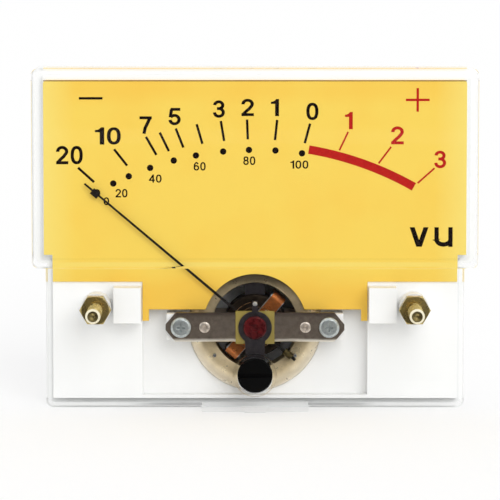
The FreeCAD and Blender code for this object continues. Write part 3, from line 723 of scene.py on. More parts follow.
class Recipe:
    """A Geometry Nodes tree with named inputs that ends in real faces with a material."""

    def __init__(self, name: str) -> None:
        """Start a tree whose first input is the host's own geometry.

        Args:
            name: name of the tree.
        """
        self.tree = bpy.data.node_groups.new(name, "GeometryNodeTree")
        self.tree.interface.new_socket("Geometry", in_out="OUTPUT", socket_type="NodeSocketGeometry")
        self.keys: dict[str, str] = {}
        self.entry = self.tree.nodes.new("NodeGroupInput")
        self.geometry = self.input("Geometry", "NodeSocketGeometry")

    def input(self, name: str, kind: str = "NodeSocketFloat") -> Socket:
        """Add a named input.

        Args:
            name: its name.
            kind: type of its socket.

        Returns:
            The socket inside the tree.
        """
        self.keys[name] = self.tree.interface.new_socket(name, in_out="INPUT", socket_type=kind).identifier
        return self.entry.outputs[name]

    def node(self, kind: str, inputs: dict | None = None, **settings: object) -> bpy.types.Node:
        """Add a node of a type, which is a geometry node unless its name says Shader."""
        full = kind if kind.startswith("Shader") else "GeometryNode" + kind
        return add_node(self.tree, full, inputs, **settings)

    def close(self, geometry: Socket, finish: Finish) -> None:
        """End the tree in realized faces with a material.

        Args:
            geometry: the geometry to end with.
            finish: finish of its faces.
        """
        real = self.node("RealizeInstances", {"Geometry": geometry})
        dressed = self.node("SetMaterial", {"Geometry": real.outputs[0], "Material": finish.material()})
        end = self.tree.nodes.new("NodeGroupOutput")
        self.tree.links.new(dressed.outputs[0], end.inputs[0])

    def sweep(self, path: bpy.types.Node, section: bpy.types.Node, tilt: float, finish: Finish) -> None:
        """End the tree in a capped sweep of a section along a path, tilted back about the X axis.

        Args:
            path: node that makes the path.
            section: node that makes the section.
            tilt: angle in radians.
            finish: finish of its faces.
        """
        keys = {"Curve": path.outputs[0], "Profile Curve": section.outputs[0], "Fill Caps": True}
        swept = self.node("CurveToMesh", keys).outputs[0]
        tilted = self.node("Transform", {"Geometry": swept, "Rotation": (tilt, 0.0, 0.0)})
        self.close(tilted.outputs[0], finish)

    def run(self, host_mesh: Mesh, values: dict[str, object]) -> Mesh:
        """Evaluate the tree on a host.

        Args:
            host_mesh: mesh of the host.
            values: values of the named inputs.

        Returns:
            The result as a plain mesh.
        """
        host = placed("host", host_mesh)
        modifier = host.modifiers.new("recipe", "NODES")
        modifier.node_group = self.tree
        for name, value in values.items():
            modifier[self.keys[name]] = value
        graph = bpy.context.evaluated_depsgraph_get()
        result = bpy.data.meshes.new_from_object(host.evaluated_get(graph))
        host.modifiers.remove(modifier)
        bpy.data.objects.remove(host)
        return result


@dataclass(frozen=True)
class Spot:
    """Where one copy of a repeated shape stands, in millimetres, its turn in degrees and its stretch."""

    x: float
    y: float
    z: float
    turn: float = 0.0
    stretch: float = 1.0


def repeated(name: str, template: Mesh, spots: Sequence[Spot], finish: Finish) -> Mesh:
    """Copies of a template at several spots.

    Args:
        name: name of the result.
        template: the shape, about the origin.
        spots: where its copies stand.
        finish: finish of the copies.

    Returns:
        One plain mesh with all copies.
    """
    points = bpy.data.meshes.new(name + "_spots")
    points.from_pydata([Vector((s.x, s.y, s.z)) * MM for s in spots], [], [])
    leans = [math.radians(spot.turn) for spot in spots]
    for key, values in (("turn", leans), ("stretch", [spot.stretch for spot in spots])):
        points.attributes.new(key, "FLOAT", "POINT").data.foreach_set("value", values)
    model = placed(name + "_template", template)
    recipe = Recipe(name + "_repeat")
    source = recipe.node("ObjectInfo", {"Object": recipe.input("Template", "NodeSocketObject")})
    turn, stretch = (recipe.node("InputNamedAttribute", {"Name": key}, data_type="FLOAT").outputs["Attribute"]
                     for key in ("turn", "stretch"))
    euler = recipe.node("ShaderNodeCombineXYZ", {"Y": turn})
    scale = recipe.node("ShaderNodeCombineXYZ", {"X": 1.0, "Y": 1.0, "Z": stretch})
    copies = recipe.node("InstanceOnPoints", {
        "Points": recipe.geometry, "Instance": source.outputs["Geometry"],
        "Rotation": euler.outputs[0], "Scale": scale.outputs[0],
    })
    recipe.close(copies.outputs[0], finish)
    result = recipe.run(points, {"Template": model})
    bpy.data.objects.remove(model)
    return result


# Printed marks


def arc(x: float, z: float, rx: float, rz: float, start: float, end: float, steps: int = 16) -> list[Point2]:
    """Points on an ellipse from one angle to another, in degrees from its right, upwards positive."""
    turns = [math.radians(start + (end - start) * k / steps) for k in range(steps + 1)]
    return [(x + rx * math.cos(a), z + rz * math.sin(a)) for a in turns]


def ring(x: float, z: float, rx: float, rz: float, squareness: float = 2.35, steps: int = 32) -> list[Point2]:
    """Closed loop between an ellipse and a rectangle, as the counters of a plain figure have.

    Args:
        x: middle, to the right.
        z: middle, up.
        rx: half width.
        rz: half height.
        squareness: 2 for an ellipse, more for fuller corners.
        steps: number of points.

    Returns:
        The points in order.
    """
    points = []
    for k in range(steps):
        a = 2 * math.pi * k / steps
        c, s = math.cos(a), math.sin(a)
        points.append((x + rx * math.copysign(abs(c) ** (2 / squareness), c),
                       z + rz * math.copysign(abs(s) ** (2 / squareness), s)))
    return points


@dataclass(frozen=True)
class Stroke:
    """A line of even width, open with square ends or closed."""

    points: Sequence[Point2]
    closed: bool = False

    def sides(self, half: float) -> tuple[list[Point2], list[Point2]]:
        """Both edges of the stroke.

        Args:
            half: half of its width.

        Returns:
            The left and the right edge.
        """
        count = len(self.points)
        left, right = [], []
        for k, at in enumerate(self.points):
            here = Vector(at)
            before = Vector(self.points[k - 1]) if k or self.closed else None
            after = Vector(self.points[(k + 1) % count]) if k < count - 1 or self.closed else None
            steps = ((here - before) if before else None, (after - here) if after else None)
            ways = [step.normalized() for step in steps if step]
            way = sum(ways, Vector((0, 0))).normalized()
            across = Vector((-way.y, way.x))
            reach = half / max(0.5, across.dot(Vector((-ways[0].y, ways[0].x))))
            left.append(tuple(here + across * reach))
            right.append(tuple(here - across * reach))
        return left, right


@dataclass(frozen=True)
class Glyph:
    """A figure or sign of height 1: strokes, filled outlines and its width."""

    width: float
    strokes: tuple[Stroke, ...] = ()
    outlines: tuple[Sequence[Point2], ...] = ()


@dataclass(frozen=True)
class Figures:
    """Plain upright figures drawn as strokes, for one weight of print."""

    stroke: float = 0.165
    width: float = 0.62
    stem: float = 0.2

    def glyph(self, sign: str) -> Glyph:
        """The glyph for one sign.

        Args:
            sign: a figure from 0 to 8, or v or u.

        Returns:
            Its glyph.
        """
        return {
            "0": self.nought, "1": self.one, "2": self.two, "3": self.three, "4": self.four, "5": self.five,
            "6": self.six, "7": self.seven, "8": self.eight, "v": self.letter_v, "u": self.letter_u,
        }[sign]()

    @property
    def half(self) -> float:
        """Half of the stroke."""
        return self.stroke / 2

    @property
    def reach(self) -> float:
        """Half of the width between the middles of the outer strokes."""
        return self.width / 2 - self.half

    def nought(self) -> Glyph:
        """0."""
        return Glyph(self.width, (Stroke(ring(self.width / 2, 0.5, self.reach, 0.5 - self.half), True),))

    def one(self) -> Glyph:
        """1."""
        right = self.width * 0.7
        left = right - self.stem
        flag = [(right, 0), (right, 1), (right - self.stem * 0.72, 1),
                (left - 0.02, 0.9), (left - 0.1, 0.855),
                (0.02, 0.84), (0.02, 0.715), (left, 0.715), (left, 0)]
        return Glyph(right, (), (flag,))

    def two(self) -> Glyph:
        """2."""
        x, h = self.width / 2, self.half
        bowl = arc(x, 0.7, self.reach, 0.3 - h, 185, -28, 20)
        tail = [(self.width * 0.62, 0.42), (self.width * 0.4, 0.29), (self.width * 0.2, 0.15),
                (h * 1.15, self.stroke * 0.4)]
        base = [(0.0, h), (self.width, h)]
        return Glyph(self.width, (Stroke(bowl + tail), Stroke(base)))

    def three(self) -> Glyph:
        """3."""
        x, h, waist = self.width / 2, self.half, 0.525
        upper_reach, lower_reach = (1 - h - waist) / 2, (waist - h) / 2
        upper = arc(x - 0.01, waist + upper_reach, self.reach - 0.02, upper_reach, 178, -90, 20)
        lower = arc(x, waist - lower_reach, self.reach, lower_reach, 90, -182, 20)
        return Glyph(self.width, (Stroke(upper + [(self.width * 0.34, waist)]), Stroke(lower)))

    def four(self) -> Glyph:
        """4."""
        w, h = self.width * 1.03, self.half
        stem_x = w * 0.72
        return Glyph(w, (Stroke([(stem_x, 0), (stem_x, 1)]), Stroke([(0.0, 0.3), (w, 0.3)]),
                         Stroke([(h * 0.8, 0.28), (stem_x, 0.95)])))

    def five(self) -> Glyph:
        """5."""
        w, h = self.width, self.half
        bowl = arc(w / 2 - 0.01, 0.325, self.reach, 0.325 - h, 148, -176, 24)
        back = [(w * 0.23, 1 - h), (w * 0.14, 0.46)]
        return Glyph(w, (Stroke([(w * 0.16, 1 - h), (w * 0.95, 1 - h)]), Stroke(back), Stroke(bowl)))

    def six(self) -> Glyph:
        """6."""
        w, h = self.width, self.half
        hook = arc(w / 2, 0.5, self.reach, 0.5 - h, 38, 180, 16) + [(h, 0.33)]
        return Glyph(w, (Stroke(ring(w / 2, 0.32, self.reach, 0.32 - h, 2.1), True), Stroke(hook)))

    def seven(self) -> Glyph:
        """7."""
        w, h = self.width, self.half
        leg = [(w - h * 1.2, 0.9), (w * 0.66, 0.62), (w * 0.46, 0.33), (w * 0.36, 0)]
        return Glyph(w, (Stroke([(0, 1 - h), (w, 1 - h)]), Stroke(leg)))

    def eight(self) -> Glyph:
        """8."""
        h, waist = self.half, 0.535
        upper_reach, lower_reach = (1 - h - waist) / 2, (waist - h) / 2
        x = self.width / 2
        upper = ring(x, waist + upper_reach, self.reach - 0.03, upper_reach, 2.1)
        lower = ring(x, waist - lower_reach, self.reach, lower_reach, 2.1)
        return Glyph(self.width, (Stroke(upper, True), Stroke(lower, True)))

    def letter_v(self) -> Glyph:
        """v."""
        w, s = 0.99, 0.26
        foot = s * 0.56
        outline = [(0, 1), (s, 1), (w / 2, s * 1.3), (w - s, 1), (w, 1), (w / 2 + foot, 0), (w / 2 - foot, 0)]
        return Glyph(w, (), (outline,))

    def letter_u(self) -> Glyph:
        """u."""
        w, h = 0.95, 0.12
        cup = [(h, 1), (h, 0.38)] + arc(w / 2, 0.38, w / 2 - h, 0.38 - h, 180, 360, 16) + [(w - h, 1)]
        return Glyph(w, (Stroke(cup), Stroke([(w - h, 0), (w - h, 1)])))


class Press:
    """Lays thin films of ink on the dial's face."""

    def __init__(self, film: float = 0.02) -> None:
        """Start an empty sheet.

        Args:
            film: thickness of the ink in millimetres.
        """
        self.shape = bmesh.new()
        self.front = DIAL_Y - film
        self.back = DIAL_Y + 0.004
        self.coat = 0

    @classmethod
    def about_origin(cls) -> "Press":
        """A sheet whose marks are templates for copies, so that they lie about the origin."""
        press = cls()
        press.front, press.back = -0.021, 0.004
        return press

    def corners(self, outline: Sequence[Point2], depth: float) -> list[bmesh.types.BMVert]:
        """Corners of an outline at a depth, both in millimetres."""
        return [self.shape.verts.new((x * MM, depth * MM, z * MM)) for x, z in outline]

    def film(self, outline: Sequence[Point2]) -> None:
        """Print a filled outline given in millimetres.

        Args:
            outline: corners in order.
        """
        front, back = self.corners(outline, self.front), self.corners(outline, self.back)
        self.shape.faces.new(front)
        self.shape.faces.new(list(reversed(back)))
        for k in range(len(front)):
            n = (k + 1) % len(front)
            self.shape.faces.new((front[k], front[n], back[n], back[k]))

    def ribbon(self, left: Sequence[Point2], right: Sequence[Point2], closed: bool = False) -> None:
        """Print the band between two edges given in millimetres.

        Args:
            left: one edge.
            right: the other edge, with as many points.
            closed: whether its end meets its start.
        """
        self.coat = (self.coat + 1) % 4
        sheets = []
        for depth in (self.front - 0.001 * self.coat, self.back):
            sheets.append([self.corners(edge, depth) for edge in (left, right)])
        (fl, fr), (bl, br) = sheets
        count = len(left)
        for k in range(count if closed else count - 1):
            n = (k + 1) % count
            self.shape.faces.new((fl[k], fl[n], fr[n], fr[k]))
            self.shape.faces.new((bl[k], br[k], br[n], bl[n]))
            self.shape.faces.new((fl[k], bl[k], bl[n], fl[n]))
            self.shape.faces.new((fr[n], br[n], br[k], fr[k]))
        if not closed:
            self.shape.faces.new((fl[0], fr[0], br[0], bl[0]))
            self.shape.faces.new((fr[-1], fl[-1], bl[-1], br[-1]))

    def glyph(self, glyph: Glyph, x: float, z: float, wide: float, tall: float, half: float) -> None:
        """Print one glyph in a box.

        Args:
            glyph: the glyph.
            x: left edge of the box.
            z: lower edge of the box.
            wide: width of the box.
            tall: height of the box.
            half: half of the stroke as a share of the height.
        """
        across = wide / glyph.width
        for stroke in glyph.strokes:
            edges = [[(x + a * across, z + b * tall) for a, b in edge] for edge in stroke.sides(half)]
            self.ribbon(*edges, stroke.closed)
        for outline in glyph.outlines:
            self.film([(x + a * across, z + b * tall) for a, b in outline])

    def number(self, figures: Figures, text: str, x0: float, x1: float, z0: float, z1: float) -> None:
        """Print a number so that it fills a box.

        Args:
            figures: the weight of print.
            text: its figures.
            x0: left edge of the box.
            x1: right edge.
            z0: lower edge.
            z1: upper edge.
        """
        glyphs = [figures.glyph(sign) for sign in text]
        space = 0.12
        total = sum(g.width for g in glyphs) + space * (len(glyphs) - 1)
        across = (x1 - x0) / total
        x = x0
        for one in glyphs:
            self.glyph(one, x, z0, one.width * across, z1 - z0, figures.half)
            x += (one.width + space) * across

    def mesh(self, name: str) -> Mesh:
        """The printed films as a mesh."""
        bmesh.ops.recalc_face_normals(self.shape, faces=self.shape.faces)
        return as_mesh(self.shape, name)


# Sub-assemblies


@dataclass
class Cover:
    """Clear front moulding."""

    edge: float = 0.12

    def build(self) -> None:
        """The cover with polished, slightly broken edges."""
        softened("front_cover", CLEAR, self.edge, slack=0.01)


@dataclass
class Scale:
    """Printed scale of the dial: two rows of marks on arcs, whose strokes point to the pivot."""

    centre: Point2 = (0.085, -11.2)
    tick_radius: float = 67.4
    tick_long: float = 4.1
    tick_wide: float = 0.48
    red_wide: float = 0.34
    dot_radius: float = 63.3
    dot_r: float = 0.64
    band: tuple[float, float] = (63.4, 65.1)
    band_span: tuple[float, float] = (-9.55, -29.55)
    ticks: tuple[tuple[float, float], ...] = (
        (47.93, 1.05), (38.32, 1.02), (29.75, 1.02), (26.02, 1.01), (21.69, 1.0), (15.99, 1.0), (9.39, 0.99),
        (2.19, 0.97), (-6.08, 0.99), (-15.09, 0.99))
    red_ticks: tuple[tuple[float, float], ...] = ((-25.44, 1.0), (-36.98, 1.01), (-48.42, 1.1))
    dots: tuple[float, ...] = (30.05, 26.68, 23.58, 19.42, 14.94, 10.83, 5.85, 1.17, -3.62, -8.45)
    numbers: tuple[tuple[str, float, float, float, float], ...] = (
        ("20", -39.74, -34.42, 49.22, 52.88), ("10", -32.05, -26.81, 53.16, 56.61),
        ("7", -23.05, -20.61, 55.33, 58.8), ("5", -17.24, -14.8, 57.03, 60.48),
        ("3", -8.39, -6.01, 58.52, 62.0), ("2", -2.71, -0.23, 58.86, 62.3),
        ("1", 3.1, 4.78, 58.86, 62.26), ("0", 10.24, 12.65, 58.06, 61.52))
    red_numbers: tuple[tuple[str, float, float, float, float], ...] = (
        ("1", 17.87, 19.5, 56.23, 59.68), ("2", 27.18, 29.7, 53.21, 56.8), ("3", 35.82, 38.18, 48.43, 51.94))
    percents: tuple[tuple[str, float, float, float, float], ...] = (
        ("0", -30.28, -29.18, 41.02, 42.59), ("20", -27.89, -25.51, 42.57, 44.26),
        ("40", -21.2, -18.68, 45.53, 47.15), ("60", -12.25, -9.87, 47.96, 49.65),
        ("80", -2.35, 0.06, 49.07, 50.79), ("100", 7.01, 10.66, 48.34, 49.97))
    unit: tuple[tuple[str, float, float, float, float], ...] = (
        ("v", 30.96, 34.73, 32.68, 36.59), ("u", 35.88, 39.6, 32.64, 36.59))
    minus: tuple[float, float, float, float] = (-35.14, -30.42, 62.16, 62.64)
    plus: Point2 = (32.45, 62.09)
    plus_arm: float = 2.36
    plus_half: float = 0.24

    def crossing(self, turn: float, radius: float) -> Point2:
        """Where a line from the pivot, leaning left by an angle in degrees, crosses an arc of the scale.

        Args:
            turn: the lean in degrees.
            radius: radius of the arc in millimetres.

        Returns:
            The crossing in millimetres.
        """
        way = Vector((-math.sin(math.radians(turn)), math.cos(math.radians(turn))))
        start = Vector((0.0, PIVOT.z)) - Vector(self.centre)
        along = -start.dot(way) + math.sqrt(start.dot(way) ** 2 - start.length_squared + radius ** 2)
        return tuple(Vector((0.0, PIVOT.z)) + way * along)

    def on_arc(self, turn: float, radius: float) -> Point2:
        """Point on an arc of the scale, leaning left by an angle in degrees."""
        angle = math.radians(turn)
        return (self.centre[0] - radius * math.sin(angle), self.centre[1] + radius * math.cos(angle))

    def tick_row(self, name: str, rows: Sequence[Point2], wide: float, finish: Finish) -> Mesh:
        """One row of strokes across the scale.

        Args:
            name: name of the mesh.
            rows: lean in degrees and stretch of each stroke.
            wide: width of a stroke in millimetres.
            finish: its ink.

        Returns:
            The strokes as one mesh.
        """
        press = Press.about_origin()
        half, long = wide / 2, self.tick_long / 2
        press.film([(-half, -long), (half, -long), (half, long), (-half, long)])
        spots = [Spot(x, DIAL_Y, z, -turn, stretch)
                 for turn, stretch in rows for x, z in [self.crossing(turn, self.tick_radius)]]
        return repeated(name, press.mesh(name + "_stroke"), spots, finish)

    def dot_row(self) -> Mesh:
        """The round marks below the strokes."""
        press = Press.about_origin()
        turns = [math.tau * k / 32 for k in range(32)]
        press.film([(self.dot_r * math.cos(a), self.dot_r * math.sin(a)) for a in turns])
        spots = [Spot(x, DIAL_Y, z) for turn in self.dots for x, z in [self.on_arc(turn, self.dot_radius)]]
        return repeated("dots", press.mesh("dot"), spots, BLACK_INK)

    def black_print(self) -> Mesh:
        """Black figures, the minus sign and the unit mark."""
        press = Press()
        weights = (
            (Figures(), self.numbers), (Figures(stroke=0.155, width=0.6, stem=0.17), self.percents),
            (Figures(stroke=0.22), self.unit))
        for figures, marks in weights:
            for text, x0, x1, z0, z1 in marks:
                press.number(figures, text, x0, x1, z0, z1)
        left, right, lower, upper = self.minus
        press.film([(left, lower), (right, lower), (right, upper), (left, upper)])
        return press.mesh("black_print")

    def red_print(self) -> Mesh:
        """Red figures, the plus sign and the overload band."""
        press = Press()
        for text, x0, x1, z0, z1 in self.red_numbers:
            press.number(Figures(), text, x0, x1, z0, z1)
        x, z = self.plus
        for half_x, half_z in ((self.plus_arm, self.plus_half), (self.plus_half, self.plus_arm)):
            press.ribbon([(x - half_x, z - half_z), (x + half_x, z - half_z)],
                         [(x - half_x, z + half_z), (x + half_x, z + half_z)])
        start, end = self.band_span
        turns = [start + (end - start) * k / 48 for k in range(49)]
        press.ribbon(*[[self.on_arc(turn, radius) for turn in turns] for radius in self.band])
        return press.mesh("red_print")


@dataclass
class Dial:
    """Printed dial plate."""

    scale: Scale = field(default_factory=Scale)
    edge: float = 0.06
    # Width of the painted shadow line along the top edge.
    line: float = 0.2

    def painted_shadow_line(self) -> Mesh:
        """Brown painted shadow line where the print ends along the top edge."""
        x, top = high("dial_plate").x - self.edge, high("dial_plate").z - self.edge
        press = Press()
        press.film([(-x, top - self.line), (x, top - self.line), (x, top), (-x, top)])
        return press.mesh("top_edge_line")

    def build(self) -> None:
        """The plate and its print."""
        softened("dial_plate", DIAL, self.edge)
        scale = self.scale
        black_row = scale.tick_row("scale_ticks", scale.ticks, scale.tick_wide, BLACK_INK)
        red_row = scale.tick_row("red_ticks", scale.red_ticks, scale.red_wide, RED_INK)
        for name, mesh, ink in (
            ("scale_ticks", black_row, BLACK_INK), ("red_ticks", red_row, RED_INK),
            ("percent_dots", scale.dot_row(), BLACK_INK), ("black_print", scale.black_print(), BLACK_INK),
            # Last: the painted shadow line along the top edge.
            ("red_print", scale.red_print(), RED_INK), ("top_edge_line", self.painted_shadow_line(), SHADOW_LINE_INK),
        ):
            piece(name, mesh, ink, Body.HOUSING)


@dataclass
class MagnetSystem:
    """Soft-iron ring and the core magnet held inside it."""

    bore_r: float = 8.6
    flat_r: float = 10.8
    outer_r: float = 13.4
    edge: float = 0.25

    def ring(self) -> Mesh:
        """Ring with a fully rounded front rim."""
        front, back = low("yoke_ring").y, high("yoke_ring").y
        reach = self.outer_r - self.flat_r
        rim = [(self.flat_r + reach * math.sin(a), front + reach * (1 - math.cos(a)))
               for a in [math.pi / 2 * k / 12 for k in range(13)]]
        bore, outer, e = self.bore_r, self.outer_r, self.edge
        profile = [(bore, front + e), (bore + e * 0.3, front + e * 0.3), (bore + e, front)]
        profile += rim + [(outer, back - e), (outer - e, back), (bore + e, back), (bore, back - e)]
        return moved(turned(profile, 128), z=PIVOT.z)

    def build(self) -> None:
        """Ring, core and the spacers between them."""
        piece("iron_ring", self.ring(), PLATED, Body.HOUSING, "yoke_ring")
        softened("core_magnet", MAGNET, 0.15)
        softened("core_spacers", DARK_STEEL, 0.05)


@dataclass
class MovingCoil:
    """Coil with its pointer, weights and pivots."""

    half_x: float = 7.9
    front: float = 11.6
    back: float = 21.8
    thick: float = 1.1
    half_z: float = 1.35
    corner: float = 1.5
    wire: float = 0.15
    turns: int = 18

    def loop(self, inset: float, steps: int = 8) -> list[Point2]:
        """Rounded rectangle in X and Y round the core, a distance inside the coil's outside.

        Args:
            inset: the distance in millimetres.
            steps: parts of each rounded corner.

        Returns:
            The points in order.
        """
        half_x, y0, y1 = self.half_x - inset, WINDOW_Y + self.front + inset, WINDOW_Y + self.back - inset
        r = max(self.corner - inset, 0.3)
        x, low_y, high_y = half_x - r, y0 + r, y1 - r
        middles = ((x, high_y), (-x, high_y), (-x, low_y), (x, low_y))
        return [point for quarter, (middle_x, middle_y) in enumerate(middles)
                for point in arc(middle_x, middle_y, r, r, 90 * quarter, 90 * quarter + 90, steps)]

    def bundle(self) -> Mesh:
        """Inner layers of the winding, as one band under the outermost turns."""
        shape = bmesh.new()
        half = self.half_z - self.wire * 0.4
        loops = []
        for points, z in ((self.loop(self.wire * 0.6), -half), (self.loop(self.wire * 0.6), half),
                          (self.loop(self.thick), half), (self.loop(self.thick), -half)):
            loops.append([shape.verts.new((x * MM, y * MM, z * MM)) for x, y in points])
        for first, second in zip(loops, loops[1:] + loops[:1]):
            for k in range(len(first)):
                n = (k + 1) % len(first)
                shape.faces.new((first[k], first[n], second[n], second[k]))
        bmesh.ops.recalc_face_normals(shape, faces=shape.faces)
        return shaded(as_mesh(shape, "bundle"))

    def outer_turns(self) -> Mesh:
        """Outermost layer of wire, one closed loop for each turn."""
        path = self.loop(self.wire / 2)
        host = bpy.data.meshes.new("turn_path")
        count = len(path)
        links = [(k, (k + 1) % count) for k in range(count)]
        host.from_pydata([(x * MM, y * MM, 0) for x, y in path], links, [])
        recipe = Recipe("winding_turns")
        radius = recipe.input("Wire Radius")
        number = recipe.input("Turns", "NodeSocketInt")
        start = recipe.input("First Turn", "NodeSocketVector")
        step = recipe.input("Step", "NodeSocketVector")
        curve = recipe.node("MeshToCurve", {"Mesh": recipe.geometry})
        round_wire = recipe.node("CurvePrimitiveCircle", {"Resolution": 8, "Radius": radius})
        tube = recipe.node("CurveToMesh", {"Curve": curve.outputs[0], "Profile Curve": round_wire.outputs[0]})
        line = recipe.node("MeshLine", {"Count": number, "Start Location": start, "Offset": step})
        copies = recipe.node("InstanceOnPoints", {"Points": line.outputs[0], "Instance": tube.outputs[0]})
        recipe.close(copies.outputs[0], COPPER)
        first = -self.half_z + self.wire / 2
        return recipe.run(host, {
            "Wire Radius": self.wire / 2 * MM, "Turns": self.turns, "First Turn": (0.0, 0.0, first * MM),
            "Step": (0.0, 0.0, -2 * first / (self.turns - 1) * MM),
        })

    def build(self) -> None:
        """Everything that swings with the pointer."""
        coil = shaded(joined([self.bundle(), self.outer_turns()], "winding"), 60)
        piece("coil_turns", moved(coil, z=PIVOT.z, turn=-REST_ANGLE), COPPER, Body.COIL, "coil_winding")
        for node, finish, edge in (
            ("coil_former", ALUMINIUM, 0.04), ("pointer", POINTER_PAINT, 0.05), ("pointer_boss", BRASS, 0.05),
            ("rear_boss", BRASS, 0.05), ("tail_weight", OLD_BRASS, 0.08), ("side_weights", TINNED, 0.05),
            ("front_pivot", STEEL, 0.02), ("rear_pivot", STEEL, 0.02),
        ):
            softened(node, finish, edge, Body.COIL)


@dataclass
class Hairsprings:
    """Flat spiral springs in front of the coil and behind it."""

    inner: float = 1.0
    outer: float = 5.0
    turns: float = 4.0
    thick: float = 0.12
    wide: float = 0.25

    def strip(self, depth: float) -> Mesh:
        """Spiral strip with its front at a depth in millimetres.

        Args:
            depth: the depth.

        Returns:
            The strip as one mesh.
        """
        recipe = Recipe("hairspring_strip")
        inner, outer, turns, thick, wide = (
            recipe.input(name) for name in ("Inner Radius", "Outer Radius", "Turns", "Thickness", "Width"))
        spiral = recipe.node("CurveSpiral", {
            "Resolution": 64, "Rotations": turns, "Start Radius": inner, "End Radius": outer, "Height": 0.0,
        })
        section = recipe.node("CurvePrimitiveQuadrilateral", {"Width": thick, "Height": wide})
        recipe.sweep(spiral, section, math.pi / 2, BRONZE)
        mesh = recipe.run(bpy.data.meshes.new("spring_host"), {
            "Inner Radius": self.inner * MM, "Outer Radius": self.outer * MM, "Turns": self.turns,
            "Thickness": self.thick * MM, "Width": self.wide * MM,
        })
        return shaded(moved(mesh, y=depth + self.wide / 2, z=PIVOT.z, turn=-90))

    def build(self) -> None:
        """Both springs."""
        for end, body in (("front", Body.LEVER), ("rear", Body.HOUSING)):
            node = end + "_hairspring"
            piece(end + "_spring_strip", self.strip(low(node).y), BRONZE, body, node)
        softened("rear_spring_arm", TINNED, 0.06)


@dataclass
class FrontBearing:
    """Bridge across the movement with its insulation, jewel, lever and adjuster."""

    roll: float = 0.75
    solder_r: float = 0.5
    rivet_x: float = 10.1
    rivet_r: float = 0.6
    head_r: float = 1.1
    shoulder_r: float = 1.3

    def bar(self) -> Mesh:
        """Bridge whose lower front edge is rolled back."""
        shape = bmesh.new()
        shape.from_mesh(broken_edges("front_bridge", 0))
        corner = low("front_bridge") * MM
        edges = [edge for edge in shape.edges if edge.calc_length() > 5 * MM
                 and all(abs(v.co.y - corner.y) < 1e-5 and abs(v.co.z - corner.z) < 1e-5 for v in edge.verts)]
        bmesh.ops.bevel(shape, geom=edges, offset=self.roll * MM, offset_type="OFFSET", segments=6,
                        profile=0.5, affect="EDGES")
        return shaded(as_mesh(shape, "bar"))

    def rivets(self) -> Mesh:
        """Shouldered rivets with a rolled head and a dimple."""
        head, back = low("front_rivets").y, high("front_rivets").y
        face, plate_back = low("front_bridge").y, high("front_bridge").y
        profile = [(0, head + 0.25), (0.3, head + 0.2), (0.45, head + 0.03), (0.65, head), (0.9, head + 0.03),
                   (self.head_r, face), (self.rivet_r, face), (self.rivet_r, plate_back),
                   (self.shoulder_r, plate_back), (self.shoulder_r, back), (0, back)]
        spots = [Spot(x, 0, PIVOT.z) for x in (-self.rivet_x, self.rivet_x)]
        return shaded(repeated("tubular_rivets", turned(profile, 40), spots, RIVET_BRASS))

    def solder(self) -> Mesh:
        """Bead of solder that holds the end of the spring to the lever's tail."""
        r, face = self.solder_r, low("zero_lever").y
        profile = [(0, -0.6 * r), (0.5 * r, -0.5 * r), (0.85 * r, -0.2 * r), (r, 0.05), (0, 0.05)]
        return moved(turned(profile, 24, "bead"), y=face, z=high("zero_lever").z - r)

    def build(self) -> None:
        """Bridge, screws, rivets, jewel screw, lever and adjuster."""
        piece("front_bridge_bar", self.bar(), FRONT_ZINC, Body.HOUSING, "front_bridge")
        piece("spring_solder", self.solder(), SOLDER, Body.LEVER)
        softened("bridge_insulator", OLIVE, 0.06)
        softened("bridge_screws", BRIGHT_ZINC, 0.1)
        piece("tubular_rivets", self.rivets(), RIVET_BRASS, Body.HOUSING, "front_rivets")
        softened("front_jewel_screw", LACQUER, 0.12)
        softened("front_jewel", RUBY, 0.0)
        softened("pointer_stops", STEEL, 0.04)
        softened("zero_lever", DARK_STEEL, 0.07, Body.LEVER)
        softened("zero_adjuster", BLACK, 0.12, Body.ADJUSTER)


